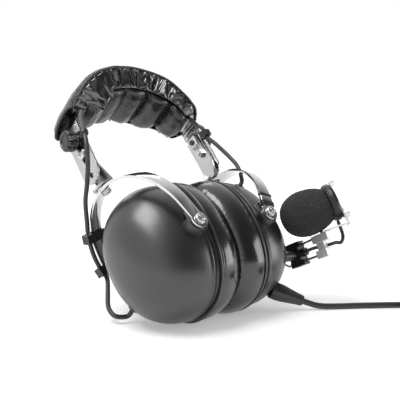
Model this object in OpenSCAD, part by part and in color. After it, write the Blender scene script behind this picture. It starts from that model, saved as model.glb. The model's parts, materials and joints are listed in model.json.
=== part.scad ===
// Aviation headset: two sealed ear cups on sprung stirrups, a padded headband with
// clamp-screw height adjusters, a wire boom with a noise-cancelling microphone, and a
// straight cord with twin aviation plugs.
// Millimetres. The construction frame is upright: X across the head towards the wearer's
// left, -Y the wearer's front, +Z up, with the origin between the ears on the cup pivot
// axis. at_rest() lays the finished headset down on its cups, leaning back.

/* [Stance] */
// How far the headset leans back on its cups, degrees
lean = 39; // [0:1:60]

/* [Ear cups] */
// Front-to-back length of a cup shell at its rim
cup_len = 80.8; // [76:0.2:84]
// Height of a cup shell at its rim
cup_height = 100; // [96:0.5:104]
// Squareness of the cup outline: 2 is an ellipse, more is boxier
cup_power = 2.2; // [2:0.05:2.6]
// Distance of the shell rim from the head's middle plane
rim_x = 28.6; // [27:0.2:31]
// Depth of the dome from its rim to its pole
dome_depth = 43.8; // [40:0.2:48]
// Roundness of the dome profile: 2 is an ellipse, more is flatter on top
dome_power = 2.3; // [2:0.05:2.6]
// Shell wall
shell_wall = 2.5; // [2:0.1:3]
// How far the cup centre lies behind (+) or ahead (-) of the pivot axis
cup_shift_y = -1.2; // [-3:0.1:0]
// How far the cup centre lies above the pivot axis
cup_shift_z = 2.9; // [0:0.1:4]
// Height of the straight skirt between the rim and the seal flange
skirt_len = 7.2; // [6.5:0.1:8]
// How far the seal flange stands out from the shell outline
flange_reach = 2; // [1.5:0.1:2.5]
// Thickness of the seal flange
flange_t = 1.7; // [1.4:0.1:2.2]

/* [Inside the cups] */
// Thickness of the baffle plate
baffle_t = 2.6; // [2:0.1:3]
// Width of the ledge that the baffle plate rests on
ledge_w = 2.6; // [2:0.1:3.5]
// Diameter of one acoustic hole in the baffle
port_d = 4; // [3:0.5:5]
// Pitch of the acoustic holes
port_pitch = 7; // [6:0.5:8]
// Diameter of the speaker basket
speaker_d = 44; // [40:1:48]
// Thickness of the sound-absorbing liner
liner_t = 5; // [4:0.5:6]

/* [Ear seals] */
// Gap between the two seal faces, where they rest together
seal_gap = 0.6; // [0.4:0.1:1]
// How far the seal bulges past the shell outline
seal_bulge = 1.5; // [1:0.1:1.8]
// Width of the seal's soft wall around the ear opening
seal_w = 16; // [14:0.5:18]

/* [Stirrups] */
// Distance of the pivot screws from the head's middle plane
pivot_x = 35.6; // [34:0.2:37]
// Room between the cup's rim and the inside of the stirrup's arch
arch_gap = 7.2; // [6.8:0.1:8.6]
// Length of the straight legs below the arch
leg_len = 16.2; // [14:0.2:20]
// Outward lean of the stirrup plane, degrees
stirrup_lean = 18.7; // [16:0.1:20]
// Width of the stirrup band
band_w = 10; // [8:0.5:11]
// Thickness of the stirrup band
band_t = 2; // [1.5:0.1:2.5]
// Radius of the eye at each end of the stirrup
eye_r = 6.4; // [6:0.1:7]
// Diameter of the pivot screw's shank
pivot_d = 4; // [3.5:0.1:4.5]
// Diameter of the pivot screw's head
pivot_head_d = 7.6; // [7:0.1:9]
// Radius of the moulded lug that takes the pivot screw
lug_r = 7.6; // [7:0.1:8]
// Side of the square steel retainer on top of a lug
retainer_w = 6.4; // [5:0.2:7]
// Height of the square steel retainer
retainer_h = 7.6; // [6:0.2:9]

/* [Yoke arms] */
// How far the arm strips stand inside the headband spring's radius
arm_inset = 7.1; // [6.5:0.1:8]
// Width of the arm strip
arm_w = 15.5; // [14:0.5:17]
// Thickness of the arm strips and plates
strip_t = 1.5; // [1.2:0.1:1.8]
// Height of the bend where the arm turns in, above the stirrup's top
arm_bend = 14.2; // [12:0.2:18]
// Height of the arm's top end above the stirrup's top
arm_rise = 46.2; // [45.2:0.2:46.6]
// Diameter of the swivel bolt's shank
swivel_d = 4; // [3.5:0.1:4.5]
// Thickness of the washer between arm and stirrup
washer_t = 0.5; // [0.3:0.1:0.8]

/* [Height adjusters] */
// Width of the slotted plate
plate_w = 21.5; // [19:0.5:23]
// Clearance of the slotted plate's lower end above the stirrup's top
plate_clear = 2.2; // [1.8:0.1:4]
// Height of the slotted plate's upper end above the stirrup's top
plate_rise = 52.6; // [52.2:0.1:53]
// Width of the slot
slot_w = 5; // [4.6:0.1:5.6]
// Height of the clamp screw above the stirrup's top, with the headset closed
clamp_rise = 40; // [39.2:0.2:40.6]
// Height of the guide bolt above the stirrup's top, with the headset closed
guide_rise = 27.9; // [26.4:0.1:29]
// Travel of the height adjuster
adjust_travel = 19; // [16:0.5:19]
// Diameter of the clamp and guide screws
clamp_d = 4.4; // [4:0.1:4.4]
// Diameter of the clamp knob
knob_d = 18; // [16:0.5:19]
// Length of the clamp knob
knob_len = 13; // [11:0.5:15]
// Number of grips around the knob
knob_grips = 9; // [6:1:12]
// Side of the square clamp nut
nut_side = 9; // [8:0.2:10]

/* [Headband] */
// Height of the centre of the headband's arc above the stirrup's top
arc_rise = 26.4; // [25.2:0.1:27.2]
// Radius of the spring band's middle line over the head
spring_r = 66.4; // [66:0.1:67]
// Width of the spring band
spring_w = 18; // [16:0.5:18.5]
// Radius of the shoulder where the spring turns down to the plate
shoulder_r = 14; // [12:0.5:16]
// Outside radius of the leather cover
cover_r = 75.5; // [75:0.1:77]
// Half angle covered by the pad, degrees
cover_angle = 70; // [69:0.5:71]
// Half width of the cover over the top of the head
cover_half_w = 26; // [24:0.5:27]
// Half width of the cover at its ends
cover_end_half_w = 16.5; // [15:0.5:17]
// Radius of the cushions' underside
cushion_r = 49.9; // [49:0.1:52]
// Half angle covered by the cushions, degrees
cushion_angle = 66; // [64:0.5:67]
// Half width of the cushions
cushion_half_w = 17.5; // [16:0.5:18.5]
// Angle between neighbouring stitched channels, degrees
channel_pitch = 22; // [18:0.5:26]
// Offset of the channels from the middle, degrees
channel_shift = -5; // [-11:0.5:11]
// Depth of the stitched channels
channel_depth = 3.2; // [2:0.2:4]

/* [Boom microphone] */
// Distance of the boom's pivot block from the middle plane
boom_x = 80.5; // [79:0.5:82]
// How far the boom pivot lies ahead of the cup pivots
boom_front = 18.5; // [17:0.5:20]
// How far the boom pivot lies below the cup pivots
boom_down = 24.5; // [23:0.5:26]
// Droop of the boom wires towards the front, degrees
boom_droop = 14.5; // [10:0.5:20]
// Diameter of the boom wire
wire_d = 2.2; // [1.8:0.1:2.4]
// Distance between the two runs of the boom wire
wire_gap = 13.4; // [13:0.1:13.6]
// Size of the pivot block along the wires
block_len = 11; // [10:0.5:12]
// Size of the pivot block across the wires
block_h = 19; // [18:0.5:20]
// Thickness of the pivot block
block_t = 9; // [8:0.5:10]
// Length of the windscreen
foam_len = 38; // [36:0.5:40]
// Diameter of the windscreen
foam_d = 35.6; // [34:0.2:36]
// Diameter of the microphone's body
mic_d = 30; // [28:0.5:31]

/* [Cord] */
// Diameter of the main cord
cord_d = 4.6; // [4.2:0.1:5]
// Diameter of the plug leads and the cup-to-cup cable
lead_d = 3.8; // [3.4:0.1:4]
// Diameter of the coil across the middle of its turns
coil_d = 54; // [50:1:58]
// Diameter of the phone plug's pin
phone_pin_d = 6.35; // [6.3:0.01:6.4]
// Diameter of the microphone plug's pin
mic_pin_d = 5.232; // [5.2:0.001:5.25]

/* [Hidden] */

$fn = 48;
slip = 0.3;            // running clearance between moving faces
bore_play = 0.08;      // radial play of a shank in its bore
facets = 48;           // points around a cup outline
eps = 0.01;
lug_bore = 5.2;        // depth of the screw's bore in a lug
lock_nut_h = 2.6;      // lock nut of the swivel bolt
stud_past = 3.4;       // how far a stud reaches past the last nut
nut_h = 3.4;           // height of the square clamp nut

cup_a = cup_len / 2;
cup_b = cup_height / 2;
flange_x = rim_x - skirt_len;          // face of the flange that the seal sits on

arch_r = cup_a + arch_gap;             // inside radius of the stirrup's arch
arch_top = leg_len + arch_r + band_t;  // outer face of the arch above the pivot axis
arm_x = spring_r - arm_inset;          // middle of the arm's strip
arm_bend_z = arch_top + arm_bend;
arm_top_z = arch_top + arm_rise;
plate_low_z = arch_top + plate_clear;
plate_top_z = arch_top + plate_rise;
clamp_z = arch_top + clamp_rise;
guide_z = arch_top + guide_rise;
arc_z = arch_top + arc_rise;

// ---------- shapes shared by many pieces ----------

// Point of the cup outline with half axes a (along Y) and b (along Z)
function oval(t, a, b) =
    let (r = pow(pow(abs(cos(t)), cup_power) + pow(abs(sin(t)), cup_power), -1 / cup_power))
    [a * r * cos(t), b * r * sin(t)];

// Ring of the cup outline at x, scaled by k and then moved outwards by d
function cup_ring(x, k, d, n = facets) =
    [for (i = [0:n - 1]) let (p = oval(360 * i / n, cup_a * k + d, cup_b * k + d))
        [x, p[0] + cup_shift_y, p[1] + cup_shift_z]];

// Skin over rings that all have the same number of points; open ends get flat caps
module skin(rings, loop = false) {
    n = len(rings[0]);
    m = len(rings);
    walls = [for (i = [0:m - (loop ? 1 : 2)], j = [0:n - 1])
        [i * n + j, i * n + (j + 1) % n, ((i + 1) % m) * n + (j + 1) % n, ((i + 1) % m) * n + j]];
    caps = loop ? [] : [[for (j = [n - 1:-1:0]) j], [for (j = [0:n - 1]) (m - 1) * n + j]];
    polyhedron(points = [for (r = rings) each r], faces = concat(walls, caps), convexity = 8);
}

// Rod along Y, from y0 to y1
module rod_y(r, y0, y1) translate([0, y1, 0]) rotate([90, 0, 0]) cylinder(r = r, h = y1 - y0);

// Rod along X, from x0 to x1
module rod_x(r, x0, x1) translate([x0, 0, 0]) rotate([0, 90, 0]) cylinder(r = r, h = x1 - x0);

// Low domed screw head with a cross recess, standing on z = 0
module dome_head(d, h) difference() {
    rotate_extrude() polygon([[0, 0], [d / 2, 0], [d / 2, h * 0.45], [d * 0.36, h * 0.85], [d * 0.18, h], [0, h]]);
    for (a = [0, 90]) rotate([0, 0, a]) translate([-d * 0.25, -0.45, h * 0.55]) cube([d * 0.5, 0.9, h]);
}

// Flat strip of constant thickness along the points of a bent line in the XZ plane
function unit(v) = v / norm(v);
function left_of(v) = [-v[1], v[0]];
function strip_side(p, d) = [for (i = [0:len(p) - 1])
    let (a = i == 0 ? unit(p[1] - p[0]) : unit(p[i] - p[i - 1]),
        b = i == len(p) - 1 ? a : unit(p[i + 1] - p[i]),
        m = unit(left_of(a) + left_of(b)))
    p[i] + m * d / (m * left_of(a))];
module strip(p, t, w) {
    back = strip_side(p, -t / 2);
    rotate([90, 0, 0]) linear_extrude(w, center = true)
        polygon(concat(strip_side(p, t / 2), [for (i = [len(p) - 1:-1:0]) back[i]]));
}

// Points of an arc about [x, z] in the XZ plane; angles are counted from the top
function arc_points(x, z, r, a0, a1, n) =
    [for (i = [0:n]) let (a = a0 + (a1 - a0) * i / n) [x + r * sin(a), z + r * cos(a)]];

// Smooth line through chosen points, with s steps from one to the next
function blend4(a, b, c, d, u) =
    0.5 * (2 * b + (c - a) * u + (2 * a - 5 * b + 4 * c - d) * u * u + (3 * b - a - 3 * c + d) * u * u * u);
function smooth(p, s) = let (n = len(p)) concat(
    [for (i = [0:n - 2], k = [0:s - 1])
        blend4(i == 0 ? 2 * p[0] - p[1] : p[i - 1], p[i], p[i + 1],
            i == n - 2 ? 2 * p[n - 1] - p[n - 2] : p[i + 2], k / s)],
    [p[n - 1]]);

// Round tube along a line; up is any direction that the line never runs along
module tube(line, d, sides = 8, up = [0, 0, 1]) {
    n = len(line);
    skin([for (i = [0:n - 1])
        let (way = unit(line[min(i + 1, n - 1)] - line[max(i - 1, 0)]),
            a = unit(cross(up, way)),
            b = cross(a, way))
        [for (j = [0:sides - 1]) line[i] + d / 2 * (a * cos(360 * j / sides) + b * sin(360 * j / sides))]]);
}

// ---------- frames ----------

// Lowest point of the flange ring once the headset leans back
floor_power = cup_power / (cup_power - 1);
flange_low = pow(pow((cup_a + flange_reach) * sin(lean), floor_power)
    + pow((cup_b + flange_reach) * cos(lean), floor_power), 1 / floor_power);
floor_lift = flange_low + cup_shift_y * sin(lean) - cup_shift_z * cos(lean);
// Shift that puts the middle of the headset over the origin
rest_x = -13;
rest_y = -26;

module at_rest() translate([rest_x, rest_y, floor_lift]) rotate([-lean, 0, 0]) children();
module side(s) at_rest() mirror([s < 0 ? 1 : 0, 0, 0]) children();
module stirrup_frame() translate([pivot_x, 0, 0]) rotate([0, stirrup_lean, 0]) children();
module boom_frame() at_rest() translate([boom_x, -boom_front, -boom_down]) rotate([boom_droop, 0, 0]) children();

// Place of a point of the upright frame once at rest
function rested(p) = [p[0] + rest_x,
    p[1] * cos(lean) + p[2] * sin(lean) + rest_y,
    p[2] * cos(lean) - p[1] * sin(lean) + floor_lift];

// ---------- ear cups ----------

dome_steps = [88, 80, 71, 61, 50, 38, 25, 12];
function dome_k(t) = pow(cos(t), 2 / dome_power);
function dome_x(t, depth) = rim_x + depth * pow(sin(t), 2 / dome_power);

// Half length of the shell along Y where the pivot lugs stand
pivot_u = (pivot_x - rim_x) / dome_depth;
pivot_reach = cup_a * pow(1 - pow(pivot_u, dome_power), 1 / dome_power);
lug_end = arch_r - slip;               // face of the lug that the stirrup eye runs on
lug_top = 3;                           // flat top of the lug, under the retainer
groove = 1.2;                          // undercut between rim and flange
// Gland hole of the strain relief, and the post of the boom
gland_at = [51, -7, -47];
gland_to = [66, -11, -59.5];
post_r = 4;
post_base_x = dome_reach(-boom_front, -boom_down) - shell_wall;

// Point of the dome's outside at y, z and the direction that faces away from it there
function dome_reach(y, z) = let (k = pow(pow(abs(y - cup_shift_y) / cup_a, cup_power)
    + pow(abs(z - cup_shift_z) / cup_b, cup_power), 1 / cup_power))
    rim_x + dome_depth * pow(1 - pow(k, dome_power), 1 / dome_power);
function dome_seat(y, z) = [dome_reach(y, z), y, z];
function dome_away(y, z) = unit([1, (dome_reach(y - 0.5, z) - dome_reach(y + 0.5, z)),
    (dome_reach(y, z - 0.5) - dome_reach(y, z + 0.5))]);

module shell_solid() skin(concat(
    [for (t = dome_steps) cup_ring(dome_x(t, dome_depth), dome_k(t), 0)],
    [cup_ring(rim_x, 1, 0), cup_ring(rim_x - 1.2, 1, 0), cup_ring(rim_x - 2, 1, -groove),
        cup_ring(flange_x + flange_t, 1, -groove), cup_ring(flange_x + flange_t, 1, flange_reach),
        cup_ring(flange_x, 1, flange_reach), cup_ring(flange_x, 1, -shell_wall - slip),
        cup_ring(flange_x + baffle_t + slip, 1, -shell_wall - slip),
        cup_ring(flange_x + baffle_t + slip, 1, -shell_wall - ledge_w),
        cup_ring(rim_x - 1, 1, -shell_wall - ledge_w), cup_ring(rim_x + 2, 1, -shell_wall - 0.4)],
    [for (i = [len(dome_steps) - 2:-1:0]) let (t = dome_steps[i])
        cup_ring(dome_x(t, dome_depth - shell_wall), dome_k(t), -shell_wall)]));

module lugs() for (s = [-1, 1]) {
    inner = pivot_reach + s * cup_shift_y - 1.6;
    difference() {
        translate([pivot_x, 0, 0]) rod_y(lug_r, s > 0 ? inner : -lug_end, s > 0 ? lug_end : -inner);
        translate([pivot_x - lug_r - 1, -lug_end - 1, lug_top]) cube([2 * lug_r + 2, 2 * lug_end + 2, lug_r]);
    }
}

module cup_shell() color([0.08, 0.08, 0.085]) difference() {
    union() {
        shell_solid();
        lugs();
    }
    for (s = [-1, 1]) translate([pivot_x, 0, 0])
        rod_y(pivot_d / 2, s > 0 ? lug_end - lug_bore : -lug_end - 1, s > 0 ? lug_end + 1 : -lug_end + lug_bore);
}

// Holes that only the left shell has: boom post and cord gland
module left_cup_holes() {
    translate([0, -boom_front, -boom_down]) rod_x(post_r, post_base_x - 20, boom_x);
    along(gland_at, gland_to - gland_at) translate([0, 0, -12]) cylinder(r = 4, h = 40);
}

// Moves the origin to a and turns the Z axis into direction d
module along(a, d) translate(a) rotate([0, acos(d[2] / norm(d)), atan2(d[1], d[0])]) children();

module baffle() color([0.16, 0.16, 0.17]) difference() {
    translate([flange_x + slip, 0, 0]) rotate([90, 0, 90]) linear_extrude(baffle_t)
        translate([cup_shift_y, cup_shift_z]) polygon([for (i = [0:facets - 1])
            oval(360 * i / facets, cup_a - shell_wall - 2 * slip, cup_b - shell_wall - 2 * slip)]);
    for (i = [-2:2], j = [-2:2]) if (abs(i) + abs(j) <= 3)
        translate([0, cup_shift_y + i * port_pitch, cup_shift_z + j * port_pitch])
            rod_x(port_d / 2, flange_x - 1, flange_x + baffle_t + 2);
}

// Speaker with its basket, magnet and terminal board, standing on the baffle
module speaker() color([0.35, 0.35, 0.37]) translate([flange_x + slip + baffle_t, cup_shift_y, cup_shift_z])
    rotate([0, 90, 0]) union() {
        difference() {
            cylinder(d = speaker_d, h = 2.4);
            translate([0, 0, -1]) cylinder(d = speaker_d - 7, h = 2.4);
        }
        rotate_extrude() polygon([[speaker_d / 2 - 5, 2.4], [speaker_d / 2 - 3, 2.4],
            [12, 8.4], [12, 14], [0, 14], [0, 8], [9, 8]]);
        translate([speaker_d / 2 - 6, -4, 2.4]) cube([4, 8, 1.2]);
    }

// Sound-absorbing liner that follows the inside of the dome
module liner() color([0.22, 0.22, 0.23]) {
    steps = [84, 66, 46, 24, 2];
    n = 24;
    skin(concat(
        [for (t = steps) cup_ring(dome_x(t, dome_depth - shell_wall - 3.4) + 2.4, dome_k(t), -shell_wall - 1.6, n)],
        [for (i = [len(steps) - 1:-1:0]) let (t = steps[i])
            cup_ring(dome_x(t, dome_depth - shell_wall - 3.4 - liner_t) + 2.4, dome_k(t),
                -shell_wall - 1.6 - liner_t, n)]));
}
// Cut-outs of a liner round what comes through the shell
module left_liner() difference() {
    liner();
    translate([0, -boom_front, -boom_down]) rod_x(post_r + 1.5, rim_x, boom_x);
    grommet_hole(left_grommet_seat, left_grommet_away, 5);
    along(gland_at, gland_to - gland_at) translate([0, 0, -25]) cylinder(r = 6, h = 40);
}
module right_liner() difference() {
    liner();
    grommet_hole(right_grommet_seat, right_grommet_away, 5);
}

// Soft ring seal: a D section carried round the cup outline
seal_back = flange_x - slip;
seal_front = seal_gap / 2;
seal_round = 5;                        // how far the seal faces round off into the crease
module ear_seal() color([0.11, 0.11, 0.12]) {
    depth = seal_back - seal_front;
    mid = -seal_w / 2;
    section = [
        [seal_back, -3], [seal_back - 0.6, flange_reach - 0.4], [seal_back - 2.2, seal_bulge],
        [seal_back - 0.4 * depth, seal_bulge + 0.1], [seal_back - 0.68 * depth, 0.4],
        [seal_front + 2, -seal_round * 0.5], [seal_front + 0.3, -seal_round],
        [seal_front, mid - 0.5], [seal_front + 1, -seal_w + 1.2], [seal_front + 4.5, -seal_w],
        [seal_back - 0.4 * depth, -seal_w + 0.3], [seal_back, -seal_w + 3]
    ];
    n = 40;
    skin([for (i = [0:n - 1]) [for (q = section)
        let (p = oval(360 * i / n, cup_a + q[1], cup_b + q[1]))
        [q[0], p[0] + cup_shift_y, p[1] + cup_shift_z]]], loop = true);
}

module pivot_screws() color([0.8, 0.8, 0.82]) for (s = [-1, 1]) translate([pivot_x, 0, 0]) mirror([0, s < 0 ? 1 : 0, 0]) {
    rod_y(pivot_d / 2, lug_end - lug_bore + 0.2, arch_r + band_t + slip + eps);
    translate([0, arch_r + band_t + slip, 0]) rotate([-90, 0, 0]) dome_head(pivot_head_d, 2);
}

// Square steel retainers that stand on the lugs behind the stirrup eyes
module retainers() color([0.78, 0.78, 0.8]) for (s = [-1, 1])
    translate([pivot_x, s * (lug_end - retainer_w / 2), lug_top]) difference() {
        translate([-retainer_w / 2, -retainer_w / 2, 0])
            cube([retainer_w, retainer_w - 1, retainer_h]);
        translate([0, -0.5, 1.5]) cylinder(d = 2.6, h = retainer_h);
    }

// ---------- stirrups and arms ----------

boss_h = 0.5;                          // flat seat on top of the arch
flange_z = arch_top + boss_h + washer_t;

arch_line = concat([[-arch_r - band_t / 2, 0]], arc_points(0, leg_len, arch_r + band_t / 2, -90, 90, 60),
    [[arch_r + band_t / 2, 0]]);

module stirrup() color([0.82, 0.82, 0.84]) stirrup_frame() difference() {
    union() {
        rotate([0, 0, 90]) strip(arch_line, band_t, band_w);
        for (s = [-1, 1]) rod_y(eye_r, s > 0 ? arch_r : -arch_r - band_t, s > 0 ? arch_r + band_t : -arch_r);
        translate([0, 0, arch_top - band_t / 2]) cylinder(r = band_w / 2 + 0.6, h = band_t / 2 + boss_h);
    }
    rod_y(pivot_d / 2 + bore_play, -arch_r - band_t - 1, arch_r + band_t + 1);
    translate([0, 0, arch_top - 2 * band_t]) cylinder(d = swivel_d + 2 * bore_play, h = 4 * band_t);
}

// Bends of the arm in the XZ plane, from its top down to the swivel flange
function from_stirrup(x, z) = [pivot_x + x * cos(stirrup_lean) + z * sin(stirrup_lean),
    z * cos(stirrup_lean) - x * sin(stirrup_lean)];
foot_reach = -5.2;                     // where the flange starts, across the stirrup
arm_foot = from_stirrup(foot_reach, flange_z + strip_t / 2);
arm_toe = from_stirrup(foot_reach + strip_t, flange_z + strip_t / 2);
arm_line = [[arm_x, arm_top_z], [arm_x, arm_bend_z + 2], [arm_x - 0.4, arm_bend_z], arm_foot, arm_toe];

module yoke_arm() color([0.8, 0.8, 0.82]) {
    difference() {
        strip(arm_line, strip_t, arm_w);
        for (z = [clamp_z, guide_z]) translate([0, 0, z]) rod_x(clamp_d / 2 + bore_play, arm_x - 2, arm_x + 2);
        for (s = [-1, 1]) translate([arm_x - 2, s * arm_w / 2, arm_top_z]) rotate([45, 0, 0])
            translate([0, -1.5, -1.5]) cube([4, 3, 3]);
    }
    stirrup_frame() translate([0, 0, flange_z]) difference() {
        union() {
            cylinder(d = arm_w, h = strip_t);
            translate([foot_reach, -arm_w / 2, 0]) cube([-foot_reach, arm_w, strip_t]);
        }
        translate([0, 0, -1]) cylinder(d = swivel_d + 2 * bore_play, h = strip_t + 2);
    }
}

// Bolt, washer and lock nut of the stirrup swivel
module swivel_bolt() color([0.75, 0.75, 0.77]) stirrup_frame() {
    nut_top = arch_top - band_t - slip;
    translate([0, 0, nut_top - stud_past]) cylinder(d = swivel_d, h = flange_z + strip_t - nut_top + stud_past + eps);
    translate([0, 0, flange_z + strip_t]) dome_head(7.4, 1.6);
    translate([0, 0, nut_top - lock_nut_h - 0.2]) difference() {
        cylinder(d = 7.6, h = lock_nut_h, $fn = 6);
        translate([0, 0, -1]) cylinder(d = swivel_d + bore_play, h = 5);
    }
    translate([0, 0, arch_top + boss_h]) difference() {
        cylinder(d = 10.4, h = washer_t);
        translate([0, 0, -1]) cylinder(d = swivel_d + bore_play, h = 3);
    }
}

plate_x = arm_x + strip_t + slip;      // middle of the slotted plate
plate_out = plate_x + strip_t / 2;
plate_in = plate_x - strip_t / 2;
plate_neck_z = plate_top_z - 7.4;      // where the plate narrows to the spring's width
rivet_z = plate_top_z - 3;
rivet_y = 5.5;
rivet_r = 1.4;
rivet_head = 0.5;

module slot_plate() color([0.8, 0.8, 0.82]) difference() {
    union() {
        translate([0, 0, plate_low_z + plate_w / 2]) rod_x(plate_w / 2, plate_in, plate_out);
        translate([plate_in, -plate_w / 2, plate_low_z + plate_w / 2])
            cube([strip_t, plate_w, plate_neck_z - plate_low_z - plate_w / 2]);
        translate([plate_in, -spring_w / 2, plate_neck_z - 1]) cube([strip_t, spring_w, plate_top_z - plate_neck_z + 1]);
        for (s = [-1, 1]) translate([0, s * rivet_y, rivet_z]) {
            rod_x(rivet_r, plate_in - strip_t - rivet_head, plate_out + rivet_head);
            for (x = [plate_in - strip_t - rivet_head, plate_out]) translate([x, 0, 0]) rod_x(rivet_r + 0.6, 0, rivet_head);
        }
    }
    for (z = [guide_z - adjust_travel - slip, clamp_z + slip]) translate([0, 0, z]) rod_x(slot_w / 2, plate_in - 1, plate_out + 1);
    translate([plate_in - 1, -slot_w / 2, guide_z - adjust_travel - slip])
        cube([strip_t + 2, slot_w, clamp_z - guide_z + adjust_travel + 2 * slip]);
}

// Fluted hand knob with its stud and collar
module clamp_knob() color([0.1, 0.1, 0.1]) translate([0, 0, clamp_z]) {
    base = plate_out + slip;
    rod_x(clamp_d / 2, arm_x - strip_t / 2 - 4.6, base + 2);
    rod_x(5.4, base, base + 2);
    difference() {
        translate([base + 2 - eps, 0, 0]) rotate([0, 90, 0]) rotate_extrude() polygon([[0, 0], [knob_d / 2 - 1.5, 0],
            [knob_d / 2, 1.5], [knob_d / 2, knob_len - 4], [knob_d / 2 - 2.2, knob_len - 2.4], [0, knob_len - 2]]);
        for (i = [0:knob_grips - 1]) rotate([360 * i / knob_grips, 0, 0])
            translate([0, knob_d / 2 + 0.6, 0]) rod_x(1.9, base + 1, base + knob_len + 2);
    }
}

module clamp_nut() color([0.78, 0.78, 0.8]) translate([arm_x - strip_t / 2 - nut_h, 0, clamp_z]) difference() {
    translate([0, -nut_side / 2, -nut_side / 2]) cube([nut_h, nut_side, nut_side]);
    rod_x(clamp_d / 2 + bore_play, -1, 5);
}

module guide_bolt() color([0.78, 0.78, 0.8]) translate([0, 0, guide_z]) {
    nut_in = arm_x - strip_t / 2 - 3;
    rod_x(clamp_d / 2, nut_in - 1, plate_out + slip + eps);
    translate([plate_out + slip, 0, 0]) rotate([0, 90, 0]) dome_head(8, 1.8);
    translate([nut_in, 0, 0]) rotate([0, 90, 0]) difference() {
        cylinder(d = 8.4, h = 3, $fn = 6);
        translate([0, 0, -1]) cylinder(d = clamp_d + bore_play, h = 5);
    }
}

// ---------- headband ----------

spring_x = plate_in - strip_t / 2;     // middle of the spring where it laps the plate
lap_z = plate_top_z - 5;               // lower end of the spring
shoulder_z = arc_z + sqrt(pow(spring_r - shoulder_r, 2) - pow(spring_x - shoulder_r, 2));
shoulder_angle = atan2(spring_x - shoulder_r, shoulder_z - arc_z);

spring_half = concat(
    arc_points(0, arc_z, spring_r, 0, shoulder_angle, 14),
    arc_points(spring_x - shoulder_r, shoulder_z, shoulder_r, shoulder_angle + 6, 90, 6),
    [[spring_x, lap_z]]);
spring_line = concat([for (i = [len(spring_half) - 1:-1:1]) [-spring_half[i][0], spring_half[i][1]]], spring_half);

module headband_spring() color([0.75, 0.75, 0.77]) at_rest() difference() {
    strip(spring_line, strip_t, spring_w);
    for (s = [-1, 1], y = [-1, 1]) translate([0, y * rivet_y, rivet_z])
        rod_x(rivet_r + 0.02, s > 0 ? spring_x - 2 : -spring_x - 2, s > 0 ? spring_x + 2 : -spring_x + 2);
}

// Point of the headband's arc: angle from the top, radius, place across the band
function arc_point(a, r, y) = [r * sin(a), y, arc_z + r * cos(a)];
function ramp(v, v0, v1) = let (u = min(1, max(0, (v - v0) / (v1 - v0)))) u * u * (3 - 2 * u);
// Half width of the cover, which narrows towards its ends
function cover_w(a) = cover_half_w + (cover_end_half_w - cover_half_w) * ramp(abs(a), 24, 72);
function cushion_w(a) = min(cushion_half_w, cover_w(a) - 4) - 3 * ramp(abs(a), 52, 62);
// 0 in a stitched channel, 1 on the crown of a cushion
function crown(a) = sqrt(abs(sin(180 * (a - channel_shift) / channel_pitch)));
cover_in = spring_r + strip_t / 2 + slip;
cover_low = 61;                        // radius where the cover's side gusset ends
cover_wall = cover_r - cover_in;

module pad_cover() color([0.13, 0.13, 0.14]) at_rest() {
    steps = 32;
    skin([for (i = [0:steps]) let (a = cover_angle * (2 * i / steps - 1), w = cover_w(a),
            c = max(cushion_w(a) + 2 * slip, (w - 2) * ramp(abs(a), 52, 58)))
        [for (q = [[cover_r, 0], [cover_r - 0.5, w * 0.6], [cover_r - 2, w - 0.6], [cover_r - 4, w],
            [cover_low + 3.5, w - 0.6], [cover_low, (w + c) / 2], [cover_low + 0.6, c], [cover_in, c],
            [cover_in, -c], [cover_low + 0.6, -c], [cover_low, -(w + c) / 2], [cover_low + 3.5, -w + 0.6],
            [cover_r - 4, -w], [cover_r - 2, -w + 0.6], [cover_r - 0.5, -w * 0.6]])
            arc_point(a, q[0], q[1])]]);
}

module pad_cushions() color([0.17, 0.17, 0.18]) at_rest() {
    steps = 48;
    skin([for (i = [0:steps]) let (a = cushion_angle * (2 * i / steps - 1),
            w = cushion_w(a) - channel_depth * 0.3 * (1 - crown(a)),
            low = cushion_r + channel_depth * (1 - crown(a)),
            high = spring_r - strip_t / 2 - slip - 0.3 * max(0, abs(a) - 50))
        [for (q = [[high, w - 2], [high - 2, w], [low + 5, w], [low + 1.2, w - 2.5], [low, w * 0.5],
            [low, -w * 0.5], [low + 1.2, -w + 2.5], [low + 5, -w], [high - 2, -w], [high, -w + 2]])
            arc_point(a, q[0], q[1])]]);
}

// ---------- cup-to-cup cable ----------

left_clip_at = [plate_x, -plate_w / 2 - 2.6, clamp_z - 0.8];
left_grommet_seat = dome_seat(-21, 40.6);
left_grommet_away = dome_away(-21, 40.6);
right_grommet_seat = dome_seat(33, -18);
right_grommet_away = dome_away(33, -18);
grommet_out = 2.3;                     // how far a grommet's face stands off the shell
upper_clip_angle = 41;                 // place of the clips round the stirrup, from the leg
lower_clip_angle = 10;

// Point beside the stirrup band: angle up from the back leg, outward and sideways offsets
function beside_arch(a, out, x) = let (r = arch_r + band_t + out, p = from_stirrup(x, leg_len + r * sin(a)))
    [p[0], r * cos(a), p[1]];
function flip(p) = [-p[0], p[1], p[2]];

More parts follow.
